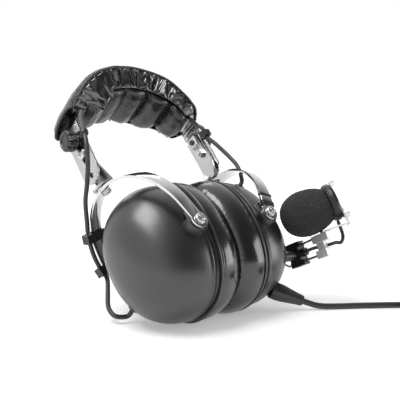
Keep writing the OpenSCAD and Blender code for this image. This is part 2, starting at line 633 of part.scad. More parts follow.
left_cable_line = [[55.5, -11.3, 123.7], [59.2, -11.4, 116], left_clip_at + [0, 0, 6], left_clip_at - [0, 0, 4],
    [63.4, -15.5, 92], [66.5, -19, 75], [66, -21.8, 62], left_grommet_seat + 8 * left_grommet_away,
    left_grommet_seat + (grommet_out + 0.2) * left_grommet_away];
clip_side = band_w / 2 + 2.4;          // where a clip holds the cable, beside the band
function clip_point(a) = flip(beside_arch(a, 0.5, clip_side));
right_upper_line = [[-55.5, -11.3, 123.7], [-59.2, -11.4, 116], [-62.4, -13.8, 106], [-66, -14.6, 92], [-67.8, -8, 77],
    [-66.5, 4, 68], [-63.4, 17, 63], clip_point(56), clip_point(upper_clip_angle + 5)];
right_lower_line = [clip_point(upper_clip_angle + 4.6), clip_point(upper_clip_angle), clip_point(25),
    clip_point(lower_clip_angle), clip_point(2), [-54.5, 48.5, 2], [-60, 46.5, -9], [-60.5, 42.5, -18],
    flip(right_grommet_seat + 9 * right_grommet_away), flip(right_grommet_seat + (grommet_out + 0.2) * right_grommet_away)];

module left_cable() color([0.2, 0.2, 0.21]) at_rest() tube(smooth(left_cable_line, 5), lead_d, up = [0, 1, 0.2]);
module right_cable_upper() color([0.2, 0.2, 0.21]) at_rest() tube(smooth(right_upper_line, 5), lead_d, up = [0.3, 1, 0]);
module right_cable_lower() color([0.2, 0.2, 0.21]) at_rest() tube(smooth(right_lower_line, 5), lead_d, up = [0.3, 1, 0]);

// Clip that holds the cable against the front edge of the left plate
module left_cable_clip() color([0.07, 0.07, 0.07]) side(1) translate(left_clip_at) difference() {
    translate([-3.4, -lead_d / 2 - 1.2, -3]) cube([6.8, lead_d + 3.8, 6]);
    translate([-strip_t / 2 - 0.02, 2.4, -4]) cube([strip_t + 0.04, 4, 8]);
    translate([0, 0, -4]) cylinder(d = lead_d + 0.6, h = 8);
}

module arch_clip(a, w) in_arch(a) difference() {
    translate([-band_w / 2 - 1.4, -1.6, -w / 2]) cube([band_w + lead_d + 4.2, band_t + 4.4, w]);
    translate([-band_w / 2 - 0.1, -0.3, -w / 2 - 1]) cube([band_w + 0.2, band_t + 0.6, w + 2]);
    translate([clip_side, 0.5 + band_t, -w / 2 - 1]) cylinder(d = lead_d + 0.6, h = w + 2);
}
// Frame on the back of the arch: X across the band, Y outward, Z along it
module in_arch(a) stirrup_frame() translate([0, 0, leg_len]) rotate([a, 0, 0]) translate([0, arch_r, 0]) children();

module right_stirrup_clips() color([0.07, 0.07, 0.07]) side(-1) {
    arch_clip(upper_clip_angle, 7);
    arch_clip(lower_clip_angle, 7);
}

module grommet(at, away) color([0.07, 0.07, 0.07]) along(at, away) difference() {
    union() {
        translate([0, 0, -shell_wall - 2]) cylinder(r = 3.2, h = shell_wall + 3);
        translate([0, 0, slip]) cylinder(r = 4.4, h = grommet_out - slip);
    }
    translate([0, 0, -shell_wall - 3]) cylinder(d = lead_d + 0.4, h = 12);
}
module grommet_hole(at, away, r = 3.3) along(at, away) translate([0, 0, -14]) cylinder(r = r, h = 24);

// ---------- boom and microphone ----------

module boom_post() color([0.1, 0.1, 0.1]) at_rest() translate([0, -boom_front, -boom_down]) {
    rod_x(post_r - bore_play, post_base_x, boom_x - block_t / 2 - slip);
    rod_x(2.5, boom_x - block_t / 2 - slip - eps, boom_x + block_t / 2 + slip + eps);
    translate([boom_x + block_t / 2 + slip, 0, 0]) rotate([0, 90, 0]) dome_head(8, 2);
}

module boom_block() color([0.06, 0.06, 0.06]) boom_frame() difference() {
    union() {
        translate([-block_t / 2, -block_len / 2, -block_h / 2]) cube([block_t, block_len, block_h]);
        translate([-block_t / 2 + 1, -block_len / 2 - 1.5, -block_h / 2]) cube([block_t - 2, block_len + 3, 4.4]);
        translate([-block_t / 2 + 1, -block_len / 2 - 1.5, block_h / 2 - 4.4]) cube([block_t - 2, block_len + 3, 4.4]);
        rod_y(3.2, -block_len / 2 - 4, -block_len / 2 + eps);
    }
    rod_x(2.5 + bore_play, -block_t, block_t);
    for (s = [-1, 1]) translate([0, 0, s * wire_gap / 2]) rod_y(wire_d / 2 + bore_play, -block_len, block_len);
    rod_y(lead_d / 2 - 0.2, -block_len, -block_len / 2 + 2.4);
}

wire_front = -28.6;                      // front end of the wire runs, in the boom frame
wire_back = 9;                         // where the wire turns back behind the block
module boom_wire() color([0.75, 0.75, 0.77]) boom_frame() {
    for (s = [-1, 1]) translate([0, 0, s * wire_gap / 2]) rod_y(wire_d / 2, wire_front, wire_back);
    translate([0, wire_back, 0]) rotate([0, 90, 0]) rotate_extrude(angle = 180)
        translate([wire_gap / 2, 0]) circle(d = wire_d);
}

clamp_back = -20;                      // rear face of the wire clamp
clamp_front = -35;
pin_at = [1, -31.4];                   // swivel pin of the microphone bracket
pin_z = 3;
module boom_clamp() color([0.78, 0.78, 0.8]) boom_frame() difference() {
    union() {
        translate([-3.5, clamp_front, 2.4]) cube([7, clamp_back - clamp_front, 5.8]);
        translate([-3.5, clamp_front + 5, -9.6]) cube([7, clamp_back - clamp_front - 5, 6]);
        translate([-2, clamp_front + 6, -4]) cube([4, clamp_back - clamp_front - 8, 7]);
    }
    for (s = [-1, 1]) translate([0, 0, s * wire_gap / 2]) rod_y(wire_d / 2 + 0.02, wire_front - 0.1, clamp_back + 1);
    translate([pin_at[0], pin_at[1], pin_z - slip]) cylinder(d = 3 + 2 * bore_play, h = 8);
}

boom_cable_line = [[0, -block_len / 2 + 2, 0], [0, -block_len / 2 - 4.5, 0], [2, -14, 0.4], [5.4, -19.5, 0],
    [5.8, -26, -1], [5.8, -31.8, -1.4]];
module boom_cable() color([0.15, 0.15, 0.16]) boom_frame() tube(smooth(boom_cable_line, 4), lead_d - 0.8);

// Frame of the microphone: origin in the middle of the foam, -Y along its axis to the front
mic_at = [-4.4, -24, 26.9];
mic_yaw = 42;
mic_pitch = -5;
mic_roll = 16;
module mic_frame() boom_frame() translate(mic_at) rotate([0, 0, mic_yaw]) rotate([mic_pitch, 0, 0]) rotate([0, mic_roll, 0]) children();

foam_back = 20;
foam_front = foam_back - foam_len;
module mic_windscreen() color([0.14, 0.14, 0.15]) mic_frame() rotate([90, 0, 0]) translate([0, 0, -foam_back])
    rotate_extrude() difference() {
        polygon(concat([[0, 0]], [for (t = [0:7.5:135]) let (r = pow(abs(sin(min(t, 90))), 0.86) * foam_d / 2)
            [t <= 90 ? r : foam_d / 2 - 3.6 * pow((t - 90) / 45, 2), 19.4 * (1 - cos(min(t, 90))) + (t > 90 ? (t - 90) / 45 * (foam_len - 19.4) : 0)]],
            [[0, foam_len]]));
        translate([0, foam_len - 24]) square([mic_core_d / 2 + slip, 30]);
    }
mic_core_d = 22;
module mic_body() color([0.12, 0.12, 0.12]) mic_frame() rotate([90, 0, 0]) union() {
    difference() {
        translate([0, 0, -foam_back + foam_len - 23]) cylinder(d = mic_core_d, h = 23);
        for (i = [0:5]) rotate([0, 0, 60 * i]) translate([mic_core_d / 2 - 4, 0, -foam_back + foam_len - 24]) cylinder(d = 3, h = 3);
        translate([0, 0, -foam_back + foam_len - 24]) cylinder(d = 3, h = 3);
    }
    translate([0, 0, -foam_front + slip]) rotate_extrude() polygon([[0, 0], [mic_d / 2 - 2.5, 0],
        [mic_d / 2 - 0.6, 1.6], [mic_d / 2, 4.5], [mic_d / 2 - 1.4, 6.6], [0, 6.6]]);
}

bracket_y = foam_front - slip - 6.6;   // face of the microphone body that the bracket lies on
bracket_t = 1.2;
tab_z = 8.3;                           // height of the bracket's foot over the wires' middle
bracket_w = 9;
bracket_half = 15.2;                   // half height of the plate
bracket_lip = 5;                       // depth of its bent ends
riser_len = 7;                         // from the plate's lower end down to the foot
foot_yaw = 27;
foot_len = 19.8;
module mic_bracket() color([0.8, 0.8, 0.82]) {
    mic_frame() {
        translate([-bracket_w / 2, bracket_y - bracket_t, -bracket_half]) cube([bracket_w, bracket_t, 2 * bracket_half]);
        for (z = [-bracket_half, bracket_half - bracket_t])
            translate([-bracket_w / 2, bracket_y - bracket_lip, z]) cube([bracket_w, bracket_lip, bracket_t]);
        for (z = [-9, 9]) translate([0, 0, z]) rod_y(1.8, bracket_y - bracket_t - 1, bracket_y - 0.2);
        translate([-3.2, bracket_y - bracket_t, -bracket_half - riser_len]) cube([6.4, bracket_t, riser_len + 1]);
    }
    boom_frame() translate([pin_at[0], pin_at[1], 0]) {
        translate([0, 0, pin_z]) cylinder(d = 3, h = tab_z - pin_z + 0.2);
        translate([0, 0, tab_z]) cylinder(d = 8, h = bracket_t);
        translate([0, 0, tab_z]) rotate([0, 0, foot_yaw]) translate([-3.5, -foot_len, 0]) cube([7, foot_len, bracket_t]);
    }
}

mic_cable_line = [[12.4, -38, 14.2], [14.6, -36.8, 8.5], [14.2, -36.6, 2], [10, -36, -2.4], [5.9, -34.4, -1.6],
    [5.8, -32, -1.4]];
module mic_cable() color([0.12, 0.12, 0.12]) boom_frame() tube(smooth(mic_cable_line, 4), lead_d - 0.8, up = [1, 1, 0]);

// ---------- cord ----------

relief_len = norm(gland_to - gland_at);
module strain_relief() color([0.09, 0.09, 0.09]) at_rest() along(gland_at, gland_to - gland_at) {
    translate([0, 0, -7]) cylinder(r = 3.9, h = 8);
    translate([0, 0, 0.2]) difference() {
        rotate_extrude() polygon([[0, 0], [6.6, 0], [6.6, 2], [4.6, relief_len], [0, relief_len]]);
        for (z = [4:3:relief_len - 4], a = [0, 90]) rotate([0, 0, a + (z % 2) * 45]) translate([-8, -8, z]) cube([3.2, 16, 1]);
    }
}

cord_start = rested(gland_to);
cord_lie = cord_d / 2;                 // height of the cord's middle where it lies on the floor
coil_at = [117, -162];
cord_route = [cord_start, [57, -74.8, 5.6], [62, -78.4, 3.6], [68, -82.8, 2.6], [78, -90.2, cord_lie],
    [90, -99.2, cord_lie], [104, -110.5, cord_lie], [118, -122, cord_lie], [131, -132.5, cord_lie]];
cord_tail = [[145.1, -146.3, 10.4], [149, -151, 8.2], [152.2, -154.8, 6], [154.1, -157, 5.2]];
coil_band = 3 * cord_d;                // width and height of the bundle of turns
module main_cord() color([0.16, 0.16, 0.17]) {
    tube(smooth(cord_route, 6), cord_d);
    tube(smooth(cord_tail, 3), cord_d);
}
module cord_coil() color([0.16, 0.16, 0.17]) translate([coil_at[0], coil_at[1], 0]) rotate_extrude($fn = 64)
    translate([(coil_d - coil_band) / 2, 0]) polygon([[1.6, 0], [coil_band - 1.6, 0], [coil_band, 1.6],
        [coil_band, coil_band - 1.6], [coil_band - 1.6, coil_band], [1.6, coil_band], [0, coil_band - 1.6], [0, 1.6]]);

junction_at = [154.1, -157, 5.2];
junction_way = [20, -23.8, 0];
module y_junction() color([0.07, 0.07, 0.07]) along(junction_at, junction_way) rotate_extrude()
    polygon([[0, 0], [3.4, 0], [4.8, 3], [4.8, 21], [4.3, 22], [0, 22]]);

phone_plug_at = [186.6, -163.5, 6];
mic_plug_at = [200.4, -166, 5.6];
module phone_lead() color([0.16, 0.16, 0.17]) tube(smooth([[169.8, -172.5, 5.2], [173, -176.3, 4.2], [177.7, -179.8, 2.6],
    [183.3, -179.6, 2], [186.8, -175.4, 2.2], [187, -169.4, 3.6], phone_plug_at], 4), lead_d);
module mic_lead() color([0.16, 0.16, 0.17]) tube(smooth([[166.6, -175.2, 5.2], [170.1, -179.4, 4], [175.5, -184.8, 2.3],
    [182.5, -187.8, 2], [190.5, -186.4, 2], [197, -181.2, 2.2], [200, -173.8, 3.4], mic_plug_at], 4), lead_d);

// Aviation plug: moulded grip, metal ferrule and a stepped pin
module plug(body_d, pin_d, pin_len, neck_d) {
    rotate_extrude() polygon([[0, 0], [3, 0], [body_d / 2 - 1, 6], [body_d / 2, 10], [body_d / 2, 34],
        [body_d / 2 - 1.2, 36], [0, 36]]);
    translate([0, 0, 36]) cylinder(d = pin_d, h = pin_len - 7);
    translate([0, 0, 36 + pin_len - 7]) rotate_extrude() polygon([[0, 0], [pin_d / 2, 0], [neck_d / 2, 1.6],
        [pin_d / 2, 4], [pin_d / 2 - 0.4, 6], [0.8, 7], [0, 7]]);
}
module phone_plug() color([0.1, 0.1, 0.1]) along(phone_plug_at, [0, 1, 0]) plug(11.6, phone_pin_d, 31.8, 4.6);
module mic_plug() color([0.1, 0.1, 0.1]) along(mic_plug_at, [0, 1, 0]) plug(10.8, mic_pin_d, 29.4, 3.8);

// ---------- nodes ----------

side(1) difference() {  // left_cup_shell
    cup_shell();
    left_cup_holes();
    grommet_hole(left_grommet_seat, left_grommet_away);
}
side(-1) difference() {  // right_cup_shell
    cup_shell();
    grommet_hole(right_grommet_seat, right_grommet_away);
}
side(1) baffle();  // left_baffle
side(-1) baffle();  // right_baffle
side(1) speaker();  // left_speaker
side(-1) speaker();  // right_speaker
side(1) left_liner();
side(-1) right_liner();
side(1) ear_seal();  // left_ear_seal
side(-1) ear_seal();  // right_ear_seal
side(1) pivot_screws();  // left_pivot_screws
side(-1) pivot_screws();  // right_pivot_screws
side(1) retainers();  // left_retainers
side(-1) retainers();  // right_retainers
side(1) stirrup();  // left_stirrup
side(-1) stirrup();  // right_stirrup
side(1) yoke_arm();  // left_yoke_arm
side(-1) yoke_arm();  // right_yoke_arm
side(1) swivel_bolt();  // left_swivel_bolt
side(-1) swivel_bolt();  // right_swivel_bolt
side(1) guide_bolt();  // left_guide_bolt
side(-1) guide_bolt();  // right_guide_bolt
side(1) clamp_nut();  // left_clamp_nut
side(-1) clamp_nut();  // right_clamp_nut
side(1) clamp_knob();  // left_clamp_knob
side(-1) clamp_knob();  // right_clamp_knob
side(1) slot_plate();  // left_slot_plate
side(-1) slot_plate();  // right_slot_plate
headband_spring();
pad_cover();
pad_cushions();
left_cable();
left_cable_clip();
right_cable_upper();
right_cable_lower();
right_stirrup_clips();
side(1) grommet(left_grommet_seat, left_grommet_away);  // left_grommet
side(-1) grommet(right_grommet_seat, right_grommet_away);  // right_grommet
boom_post();
boom_block();
boom_wire();
boom_clamp();
boom_cable();
mic_bracket();
mic_body();
mic_windscreen();
mic_cable();
strain_relief();
main_cord();
cord_coil();
y_junction();
phone_lead();
mic_lead();
phone_plug();
mic_plug();
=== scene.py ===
"""Aviation headset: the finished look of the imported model, piece by piece.

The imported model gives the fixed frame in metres. Sizes here are in millimetres in the upright
frame of the headset (X to the wearer's left, -Y forward, Z up, origin between the ears), and
Stance lays them down as the headset rests on its cups.
"""

import json
import logging
import math
from contextlib import contextmanager
from dataclasses import dataclass
from enum import Enum
from functools import cache
from typing import Callable, Iterable, Iterator, Sequence

import bpy
import numpy as np
from mathutils import Matrix, Vector

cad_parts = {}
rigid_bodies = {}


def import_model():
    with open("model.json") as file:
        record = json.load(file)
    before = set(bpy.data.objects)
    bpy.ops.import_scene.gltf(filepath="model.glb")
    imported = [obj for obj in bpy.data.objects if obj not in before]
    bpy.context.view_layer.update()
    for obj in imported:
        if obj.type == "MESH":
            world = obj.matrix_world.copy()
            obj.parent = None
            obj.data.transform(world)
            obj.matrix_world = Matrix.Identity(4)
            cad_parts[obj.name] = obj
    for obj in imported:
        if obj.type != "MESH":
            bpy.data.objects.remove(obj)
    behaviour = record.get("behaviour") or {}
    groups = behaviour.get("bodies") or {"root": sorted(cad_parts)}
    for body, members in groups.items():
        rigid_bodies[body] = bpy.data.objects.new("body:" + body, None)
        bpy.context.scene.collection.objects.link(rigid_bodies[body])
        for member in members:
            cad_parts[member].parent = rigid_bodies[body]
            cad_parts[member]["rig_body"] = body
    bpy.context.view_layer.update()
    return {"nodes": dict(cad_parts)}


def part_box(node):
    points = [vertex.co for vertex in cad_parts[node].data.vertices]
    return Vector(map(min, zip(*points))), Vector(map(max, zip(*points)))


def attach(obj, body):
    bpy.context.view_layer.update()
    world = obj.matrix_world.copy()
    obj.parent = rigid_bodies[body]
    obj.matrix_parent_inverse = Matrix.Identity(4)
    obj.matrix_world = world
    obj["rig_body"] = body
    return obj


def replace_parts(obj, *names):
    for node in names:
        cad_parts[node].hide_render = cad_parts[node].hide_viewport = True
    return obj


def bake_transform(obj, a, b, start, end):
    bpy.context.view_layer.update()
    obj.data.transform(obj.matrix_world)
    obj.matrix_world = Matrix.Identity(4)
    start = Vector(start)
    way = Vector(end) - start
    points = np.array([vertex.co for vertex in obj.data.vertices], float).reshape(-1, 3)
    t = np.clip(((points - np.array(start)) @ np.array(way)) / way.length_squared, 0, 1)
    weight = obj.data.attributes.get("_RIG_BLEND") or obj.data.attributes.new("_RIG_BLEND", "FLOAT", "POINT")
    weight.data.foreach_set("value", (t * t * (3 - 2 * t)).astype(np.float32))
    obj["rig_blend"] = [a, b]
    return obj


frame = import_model()
MM = 0.001
WELD = 2e-6
FLAT = math.radians(1.2)
log = logging.getLogger("headset")

Point = Sequence[float]
Surface = Callable[[np.ndarray, np.ndarray], np.ndarray]


# ---------------------------------------------------------------- frames and numbers

@dataclass(frozen=True)
class Stance:
    """How the upright headset lies at rest."""

    lean: float = 39.0
    shift: tuple[float, float, float] = (-13.0, -26.0, 46.79)

    def matrix(self, side: int = 1) -> Matrix:
        """Upright millimetres to the row frame.

        Args:
            side: 1 for the wearer's left, -1 for the mirrored right.

        Returns:
            The matrix, in metres.
        """
        place = Matrix.Translation(Vector(self.shift) * MM)
        turn = Matrix.Rotation(-math.radians(self.lean), 4, "X")
        return place @ turn @ Matrix.Diagonal((side * MM, MM, MM, 1.0))


REST = Stance()


def lead_to(at: Point, way: Point) -> Matrix:
    """Frame at a point whose Z axis runs along a direction."""
    turn = Vector(way).normalized().to_track_quat("Z", "Y").to_matrix().to_4x4()
    return Matrix.Translation(Vector(at)) @ turn


def oval(angle: np.ndarray, a: np.ndarray, b: np.ndarray,
         power: float = 2.2) -> tuple[np.ndarray, np.ndarray]:
    """Point of the cup outline.

    Args:
        angle: angle round the outline, radians.
        a: half length along Y.
        b: half length along Z.
        power: squareness, 2 for an ellipse.

    Returns:
        The Y and Z of the point.
    """
    c, s = np.cos(angle), np.sin(angle)
    r = (np.abs(c) ** power + np.abs(s) ** power) ** (-1 / power)
    return a * r * c, b * r * s


def ramp(x: np.ndarray, low: float, high: float) -> np.ndarray:
    """Smooth step from 0 at low to 1 at high."""
    t = np.clip((np.asarray(x, float) - low) / (high - low), 0, 1)
    return t * t * (3 - 2 * t)


def wander(x: np.ndarray, seed: int) -> np.ndarray:
    """Smooth seeded noise along a line, with one knot per unit.

    Args:
        x: where it is read.
        seed: which noise.

    Returns:
        The noise, from -1 to 1.
    """
    table = np.random.default_rng(seed).uniform(-1, 1, 1024)
    i = np.floor(x).astype(int)
    t = x - i
    t = t * t * (3 - 2 * t)
    return table[i % 1024] * (1 - t) + table[(i + 1) % 1024] * t


def wander2(x: np.ndarray, y: np.ndarray, seed: int) -> np.ndarray:
    """Smooth seeded noise over a plane, with one knot per unit.

    Args:
        x: where it is read along the first way.
        y: where it is read along the second way.
        seed: which noise.

    Returns:
        The noise, from -1 to 1.
    """
    table = np.random.default_rng(seed).uniform(-1, 1, (64, 64))
    i, j = np.floor(x).astype(int), np.floor(y).astype(int)
    s, t = x - i, y - j
    s, t = s * s * (3 - 2 * s), t * t * (3 - 2 * t)
    near = table[i % 64, j % 64] * (1 - s) + table[(i + 1) % 64, j % 64] * s
    far = table[i % 64, (j + 1) % 64] * (1 - s) + table[(i + 1) % 64, (j + 1) % 64] * s
    return near * (1 - t) + far * t


def flowing(points: Sequence[Point], steps: int) -> np.ndarray:
    """Smooth line through chosen points.

    Args:
        points: the points, in any unit.
        steps: pieces from one point to the next.

    Returns:
        The points of the line.
    """
    p = np.asarray(points, float)
    p = np.vstack([2 * p[0] - p[1], p, 2 * p[-1] - p[-2]])
    u = np.linspace(0, 1, steps, endpoint=False)[:, None]
    rows = []
    for a, b, c, d in zip(p, p[1:], p[2:], p[3:]):
        square, cube = 2 * a - 5 * b + 4 * c - d, 3 * b - a - 3 * c + d
        rows.append(0.5 * (2 * b + (c - a) * u + square * u**2 + cube * u**3))
    return np.vstack(rows + [p[-2:-1]])


def run_length(points: np.ndarray) -> float:
    """Length in metres of a line of points in millimetres."""
    return float(np.linalg.norm(np.diff(points, axis=0), axis=1).sum()) * MM


def row_of(v: np.ndarray, rows: Sequence[object]) -> np.ndarray:
    """Number of the row on which each point of a loft lies."""
    return np.rint(v * (len(rows) - 1)).astype(int)


def rounded(profile: Sequence[Point], r: float, steps: int = 3) -> list[tuple[float, float]]:
    """Profile with each inner corner rounded.

    Args:
        profile: corner points.
        r: how far a rounding reaches along each side.
        steps: points of one rounding, less one.

    Returns:
        The rounded profile.
    """
    p = [np.asarray(q, float) for q in profile]
    out = [tuple(p[0])]
    for a, b, c in zip(p, p[1:], p[2:]):
        la, lc = np.linalg.norm(a - b), np.linalg.norm(c - b)
        start, end = b + (a - b) * min(r / la, 0.45), b + (c - b) * min(r / lc, 0.45)
        for i in range(steps + 1):
            t = i / steps
            out.append(tuple(start * (1 - t) ** 2 + 2 * b * t * (1 - t) + end * t**2))
    out.append(tuple(p[-1]))
    return out


# ---------------------------------------------------------------- modelling moves

def deselect() -> None:
    """Leaves nothing selected."""
    bpy.ops.object.select_all(action="DESELECT")


def hold(obj: bpy.types.Object, *more: bpy.types.Object) -> bpy.types.Object:
    """Selects pieces and makes the first one active.

    Args:
        obj: the piece to make active.
        more: pieces to select with it.

    Returns:
        The active piece.
    """
    deselect()
    for o in (obj, *more):
        o.select_set(True)
    bpy.context.view_layer.objects.active = obj
    return obj


@contextmanager
def editing(obj: bpy.types.Object) -> Iterator[None]:
    """Opens a piece in edit mode with all of it selected, and closes it at the end.

    Args:
        obj: the piece.

    Yields:
        Nothing, while the piece is open.
    """
    hold(obj)
    bpy.ops.object.mode_set(mode="EDIT")
    bpy.ops.mesh.select_all(action="SELECT")
    yield
    bpy.ops.object.mode_set(mode="OBJECT")


def tidy(obj: bpy.types.Object, smooth: float = 180.0, gap: float = 1e-6) -> bpy.types.Object:
    """Merges doubles, turns the faces outwards and sets the shading.

    Args:
        obj: the piece.
        smooth: edges flatter than this angle are smooth.
        gap: doubles nearer than this are merged, metres.

    Returns:
        The piece.
    """
    with editing(obj):
        bpy.ops.mesh.remove_doubles(threshold=gap)
        bpy.ops.mesh.normals_make_consistent(inside=False)
    if smooth >= 180:
        bpy.ops.object.shade_smooth()
    else:
        bpy.ops.object.shade_smooth_by_angle(angle=math.radians(smooth))
    return obj


def loft(name: str, surface: Surface, across: int, along: int, place: Matrix,
         smooth: float = 180.0) -> bpy.types.Object:
    """Piece shaped from a grid by a formula.

    Args:
        name: name of the piece.
        surface: gives the points in millimetres for arrays of u and v from 0 to 1.
        across: faces along u.
        along: faces along v.
        place: matrix from those millimetres to the row frame.
        smooth: edges flatter than this angle are smooth.

    Returns:
        The piece, with u and v as its UV map.
    """
    deselect()
    bpy.ops.mesh.primitive_grid_add(x_subdivisions=across, y_subdivisions=along, size=2.0, calc_uvs=True)
    obj = bpy.context.object
    obj.name = obj.data.name = name
    co = np.empty(len(obj.data.vertices) * 3, np.float32)
    obj.data.vertices.foreach_get("co", co)
    co = co.reshape(-1, 3).astype(float)
    pts = surface(np.clip((co[:, 0] + 1) / 2, 0, 1), np.clip((co[:, 1] + 1) / 2, 0, 1))
    m = np.array(place)
    pts = pts @ m[:3, :3].T + m[:3, 3]
    obj.data.vertices.foreach_set("co", pts.astype(np.float32).ravel())
    obj.data.update()
    return tidy(obj, smooth)


def lathe(name: str, profile: Sequence[Point], place: Matrix, sides: int = 48, smooth: float = 40.0,
          ribs: Callable[[np.ndarray, np.ndarray], np.ndarray] | None = None) -> bpy.types.Object:
    """Turned piece round the Z axis of its place.

    Args:
        name: name of the piece.
        profile: radius and height of each point, in millimetres.
        place: matrix from the turned piece's millimetres to the row frame.
        sides: faces round it.
        smooth: edges flatter than this angle are smooth.
        ribs: what to add to the radius for an angle and a row number.

    Returns:
        The piece.
    """
    rows = np.asarray(profile, float)

    def surface(u: np.ndarray, v: np.ndarray) -> np.ndarray:
        """Points of the turned surface.

        Args:
            u: way round it.
            v: way along the profile.

        Returns:
            The points.
        """
        i = row_of(v, rows)
        a = 2 * math.pi * u
        r = rows[i, 0] + (ribs(a, i) if ribs else 0)
        return np.stack([r * np.cos(a), r * np.sin(a), rows[i, 1]], 1)

    return loft(name, surface, sides, len(rows) - 1, place, smooth)


def path_curve(name: str, points: np.ndarray, radius: float, place: Matrix | None = None,
               sides: int = 5) -> bpy.types.Object:
    """Round cord along a line, as a curve of one open spline.

    Args:
        name: name of the piece.
        points: the line, in millimetres.
        radius: half its thickness, in millimetres.
        place: matrix to the row frame, or None where the points are row millimetres.
        sides: bevel resolution.

    Returns:
        The curve.
    """
    data = bpy.data.curves.new(name, "CURVE")
    data.dimensions = "3D"
    data.bevel_depth = radius * MM
    data.bevel_resolution = sides
    data.use_fill_caps = True
    spline = data.splines.new("POLY")
    spline.points.add(len(points) - 1)
    m = place or Matrix.Scale(MM, 4)
    for knot, p in zip(spline.points, points):
        knot.co = (*(m @ Vector(p)), 1.0)
    obj = bpy.data.objects.new(name, data)
    bpy.context.scene.collection.objects.link(obj)
    return obj


def as_mesh(obj: bpy.types.Object) -> bpy.types.Object:
    """Turns a curve into a smooth mesh.

    Args:
        obj: the curve.

    Returns:
        The mesh.
    """
    hold(obj)
    bpy.ops.object.convert(target="MESH")
    return tidy(bpy.context.object, 60)


def join(name: str, parts: Sequence[bpy.types.Object]) -> bpy.types.Object:
    """Joins pieces into one.

    Args:
        name: name of the new piece.
        parts: the pieces.

    Returns:
        The new piece.
    """
    hold(*parts)
    bpy.ops.object.join()
    obj = bpy.context.object
    obj.name = obj.data.name = name
    return obj


def finish_modifier(obj: bpy.types.Object, kind: str, **settings: object) -> bpy.types.Object:
    """Adds a modifier and applies it.

    Args:
        obj: the piece.
        kind: type of the modifier.
        settings: properties of the modifier.

    Returns:
        The piece.
    """
    hold(obj)
    bpy.ops.object.modifier_add(type=kind)
    mod = obj.modifiers[-1]
    for key, value in settings.items():
        setattr(mod, key, value)
    bpy.ops.object.modifier_apply(modifier=mod.name)
    return obj


def copy_of(node: str, name: str) -> bpy.types.Object:
    """Bare copy of a construction solid.

    Args:
        node: the solid's node.
        name: name of the copy.

    Returns:
        The copy, with no material and tied to nothing.
    """
    obj = bpy.data.objects.new(name, frame["nodes"][node].data.copy())
    obj.data.name = name
    obj.data.materials.clear()
    bpy.context.scene.collection.objects.link(obj)
    return obj


def soften(node: str, name: str, edge: float = 0.25, angle: float = 38.0, crowned: bool = False,
           bends: bool = False) -> bpy.types.Object:
    """Copy of a construction solid with its edges eased, in place of the solid.

    Args:
        node: the solid's node.
        name: name of the new piece.
        edge: width of the easing, in millimetres.
        angle: edges sharper than this are eased.
        crowned: lets the easing carry on into the flats, as on a rolled band.
        bends: leaves the piece free, to be blended between two bodies.

    Returns:
        The new piece, riding where the solid rode unless it bends.
    """
    obj = copy_of(node, name)
    with editing(obj):
        bpy.ops.mesh.remove_doubles(threshold=WELD)
        bpy.ops.mesh.dissolve_limited(angle_limit=FLAT)
    finish_modifier(obj, "BEVEL", width=edge * MM, segments=2, limit_method="ANGLE",
                    angle_limit=math.radians(angle), use_clamp_overlap=True)
    hold(obj)
    bpy.ops.object.shade_smooth_by_angle(angle=math.radians(75 if crowned else angle))
    if not crowned:
        finish_modifier(obj, "WEIGHTED_NORMAL", keep_sharp=True, weight=80)
    if not bends:
        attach(obj, frame["nodes"][node]["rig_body"])
    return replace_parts(obj, node)


def smooth_tube(node: str, name: str) -> bpy.types.Object:
    """Rounder copy of a faceted cable solid.

    Args:
        node: the cable's node.
        name: name of the new piece.

    Returns:
        The new piece, tied to nothing yet.
    """
    obj = tidy(copy_of(node, name), 180, WELD)
    with editing(obj):
        bpy.ops.mesh.tris_convert_to_quads(face_threshold=math.radians(60), shape_threshold=math.radians(70))
    finish_modifier(obj, "SUBSURF", levels=2, render_levels=2)
    hold(obj)
    bpy.ops.object.shade_smooth()
    return obj


def settle(obj: bpy.types.Object, body: str, finish: "Finish", slot: str, *nodes: str) -> bpy.types.Object:
    """Dresses a piece and ties it to its body.

    Args:
        obj: the piece.
        body: the body it moves with, unless it already rides or bends.
        finish: its material.
        slot: the record's material slot; not used.
        nodes: construction nodes that it stands for.

    Returns:
        The piece.
    """
    dress(obj, finish)
    if "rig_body" not in obj and "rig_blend" not in obj:
        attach(obj, body)
    if nodes:
        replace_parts(obj, *nodes)
    log.info("piece %s", obj.name)
    return obj


def dress(obj: bpy.types.Object, *finishes: "Finish") -> None:
    """Gives a piece its materials.

    Args:
        obj: the piece.
        finishes: its finishes, in slot order.
    """
    obj.data.materials.clear()
    for f in finishes:
        obj.data.materials.append(f.material())


# ---------------------------------------------------------------- finishes

class Grain(Enum):
    """Kinds of fine surface detail."""

    SMOOTH = "moulded skin"
    PEBBLE = "leather pebble"
    BRUSHED = "brushed metal"
    CELLS = "open foam"
    THREAD = "twisted thread"


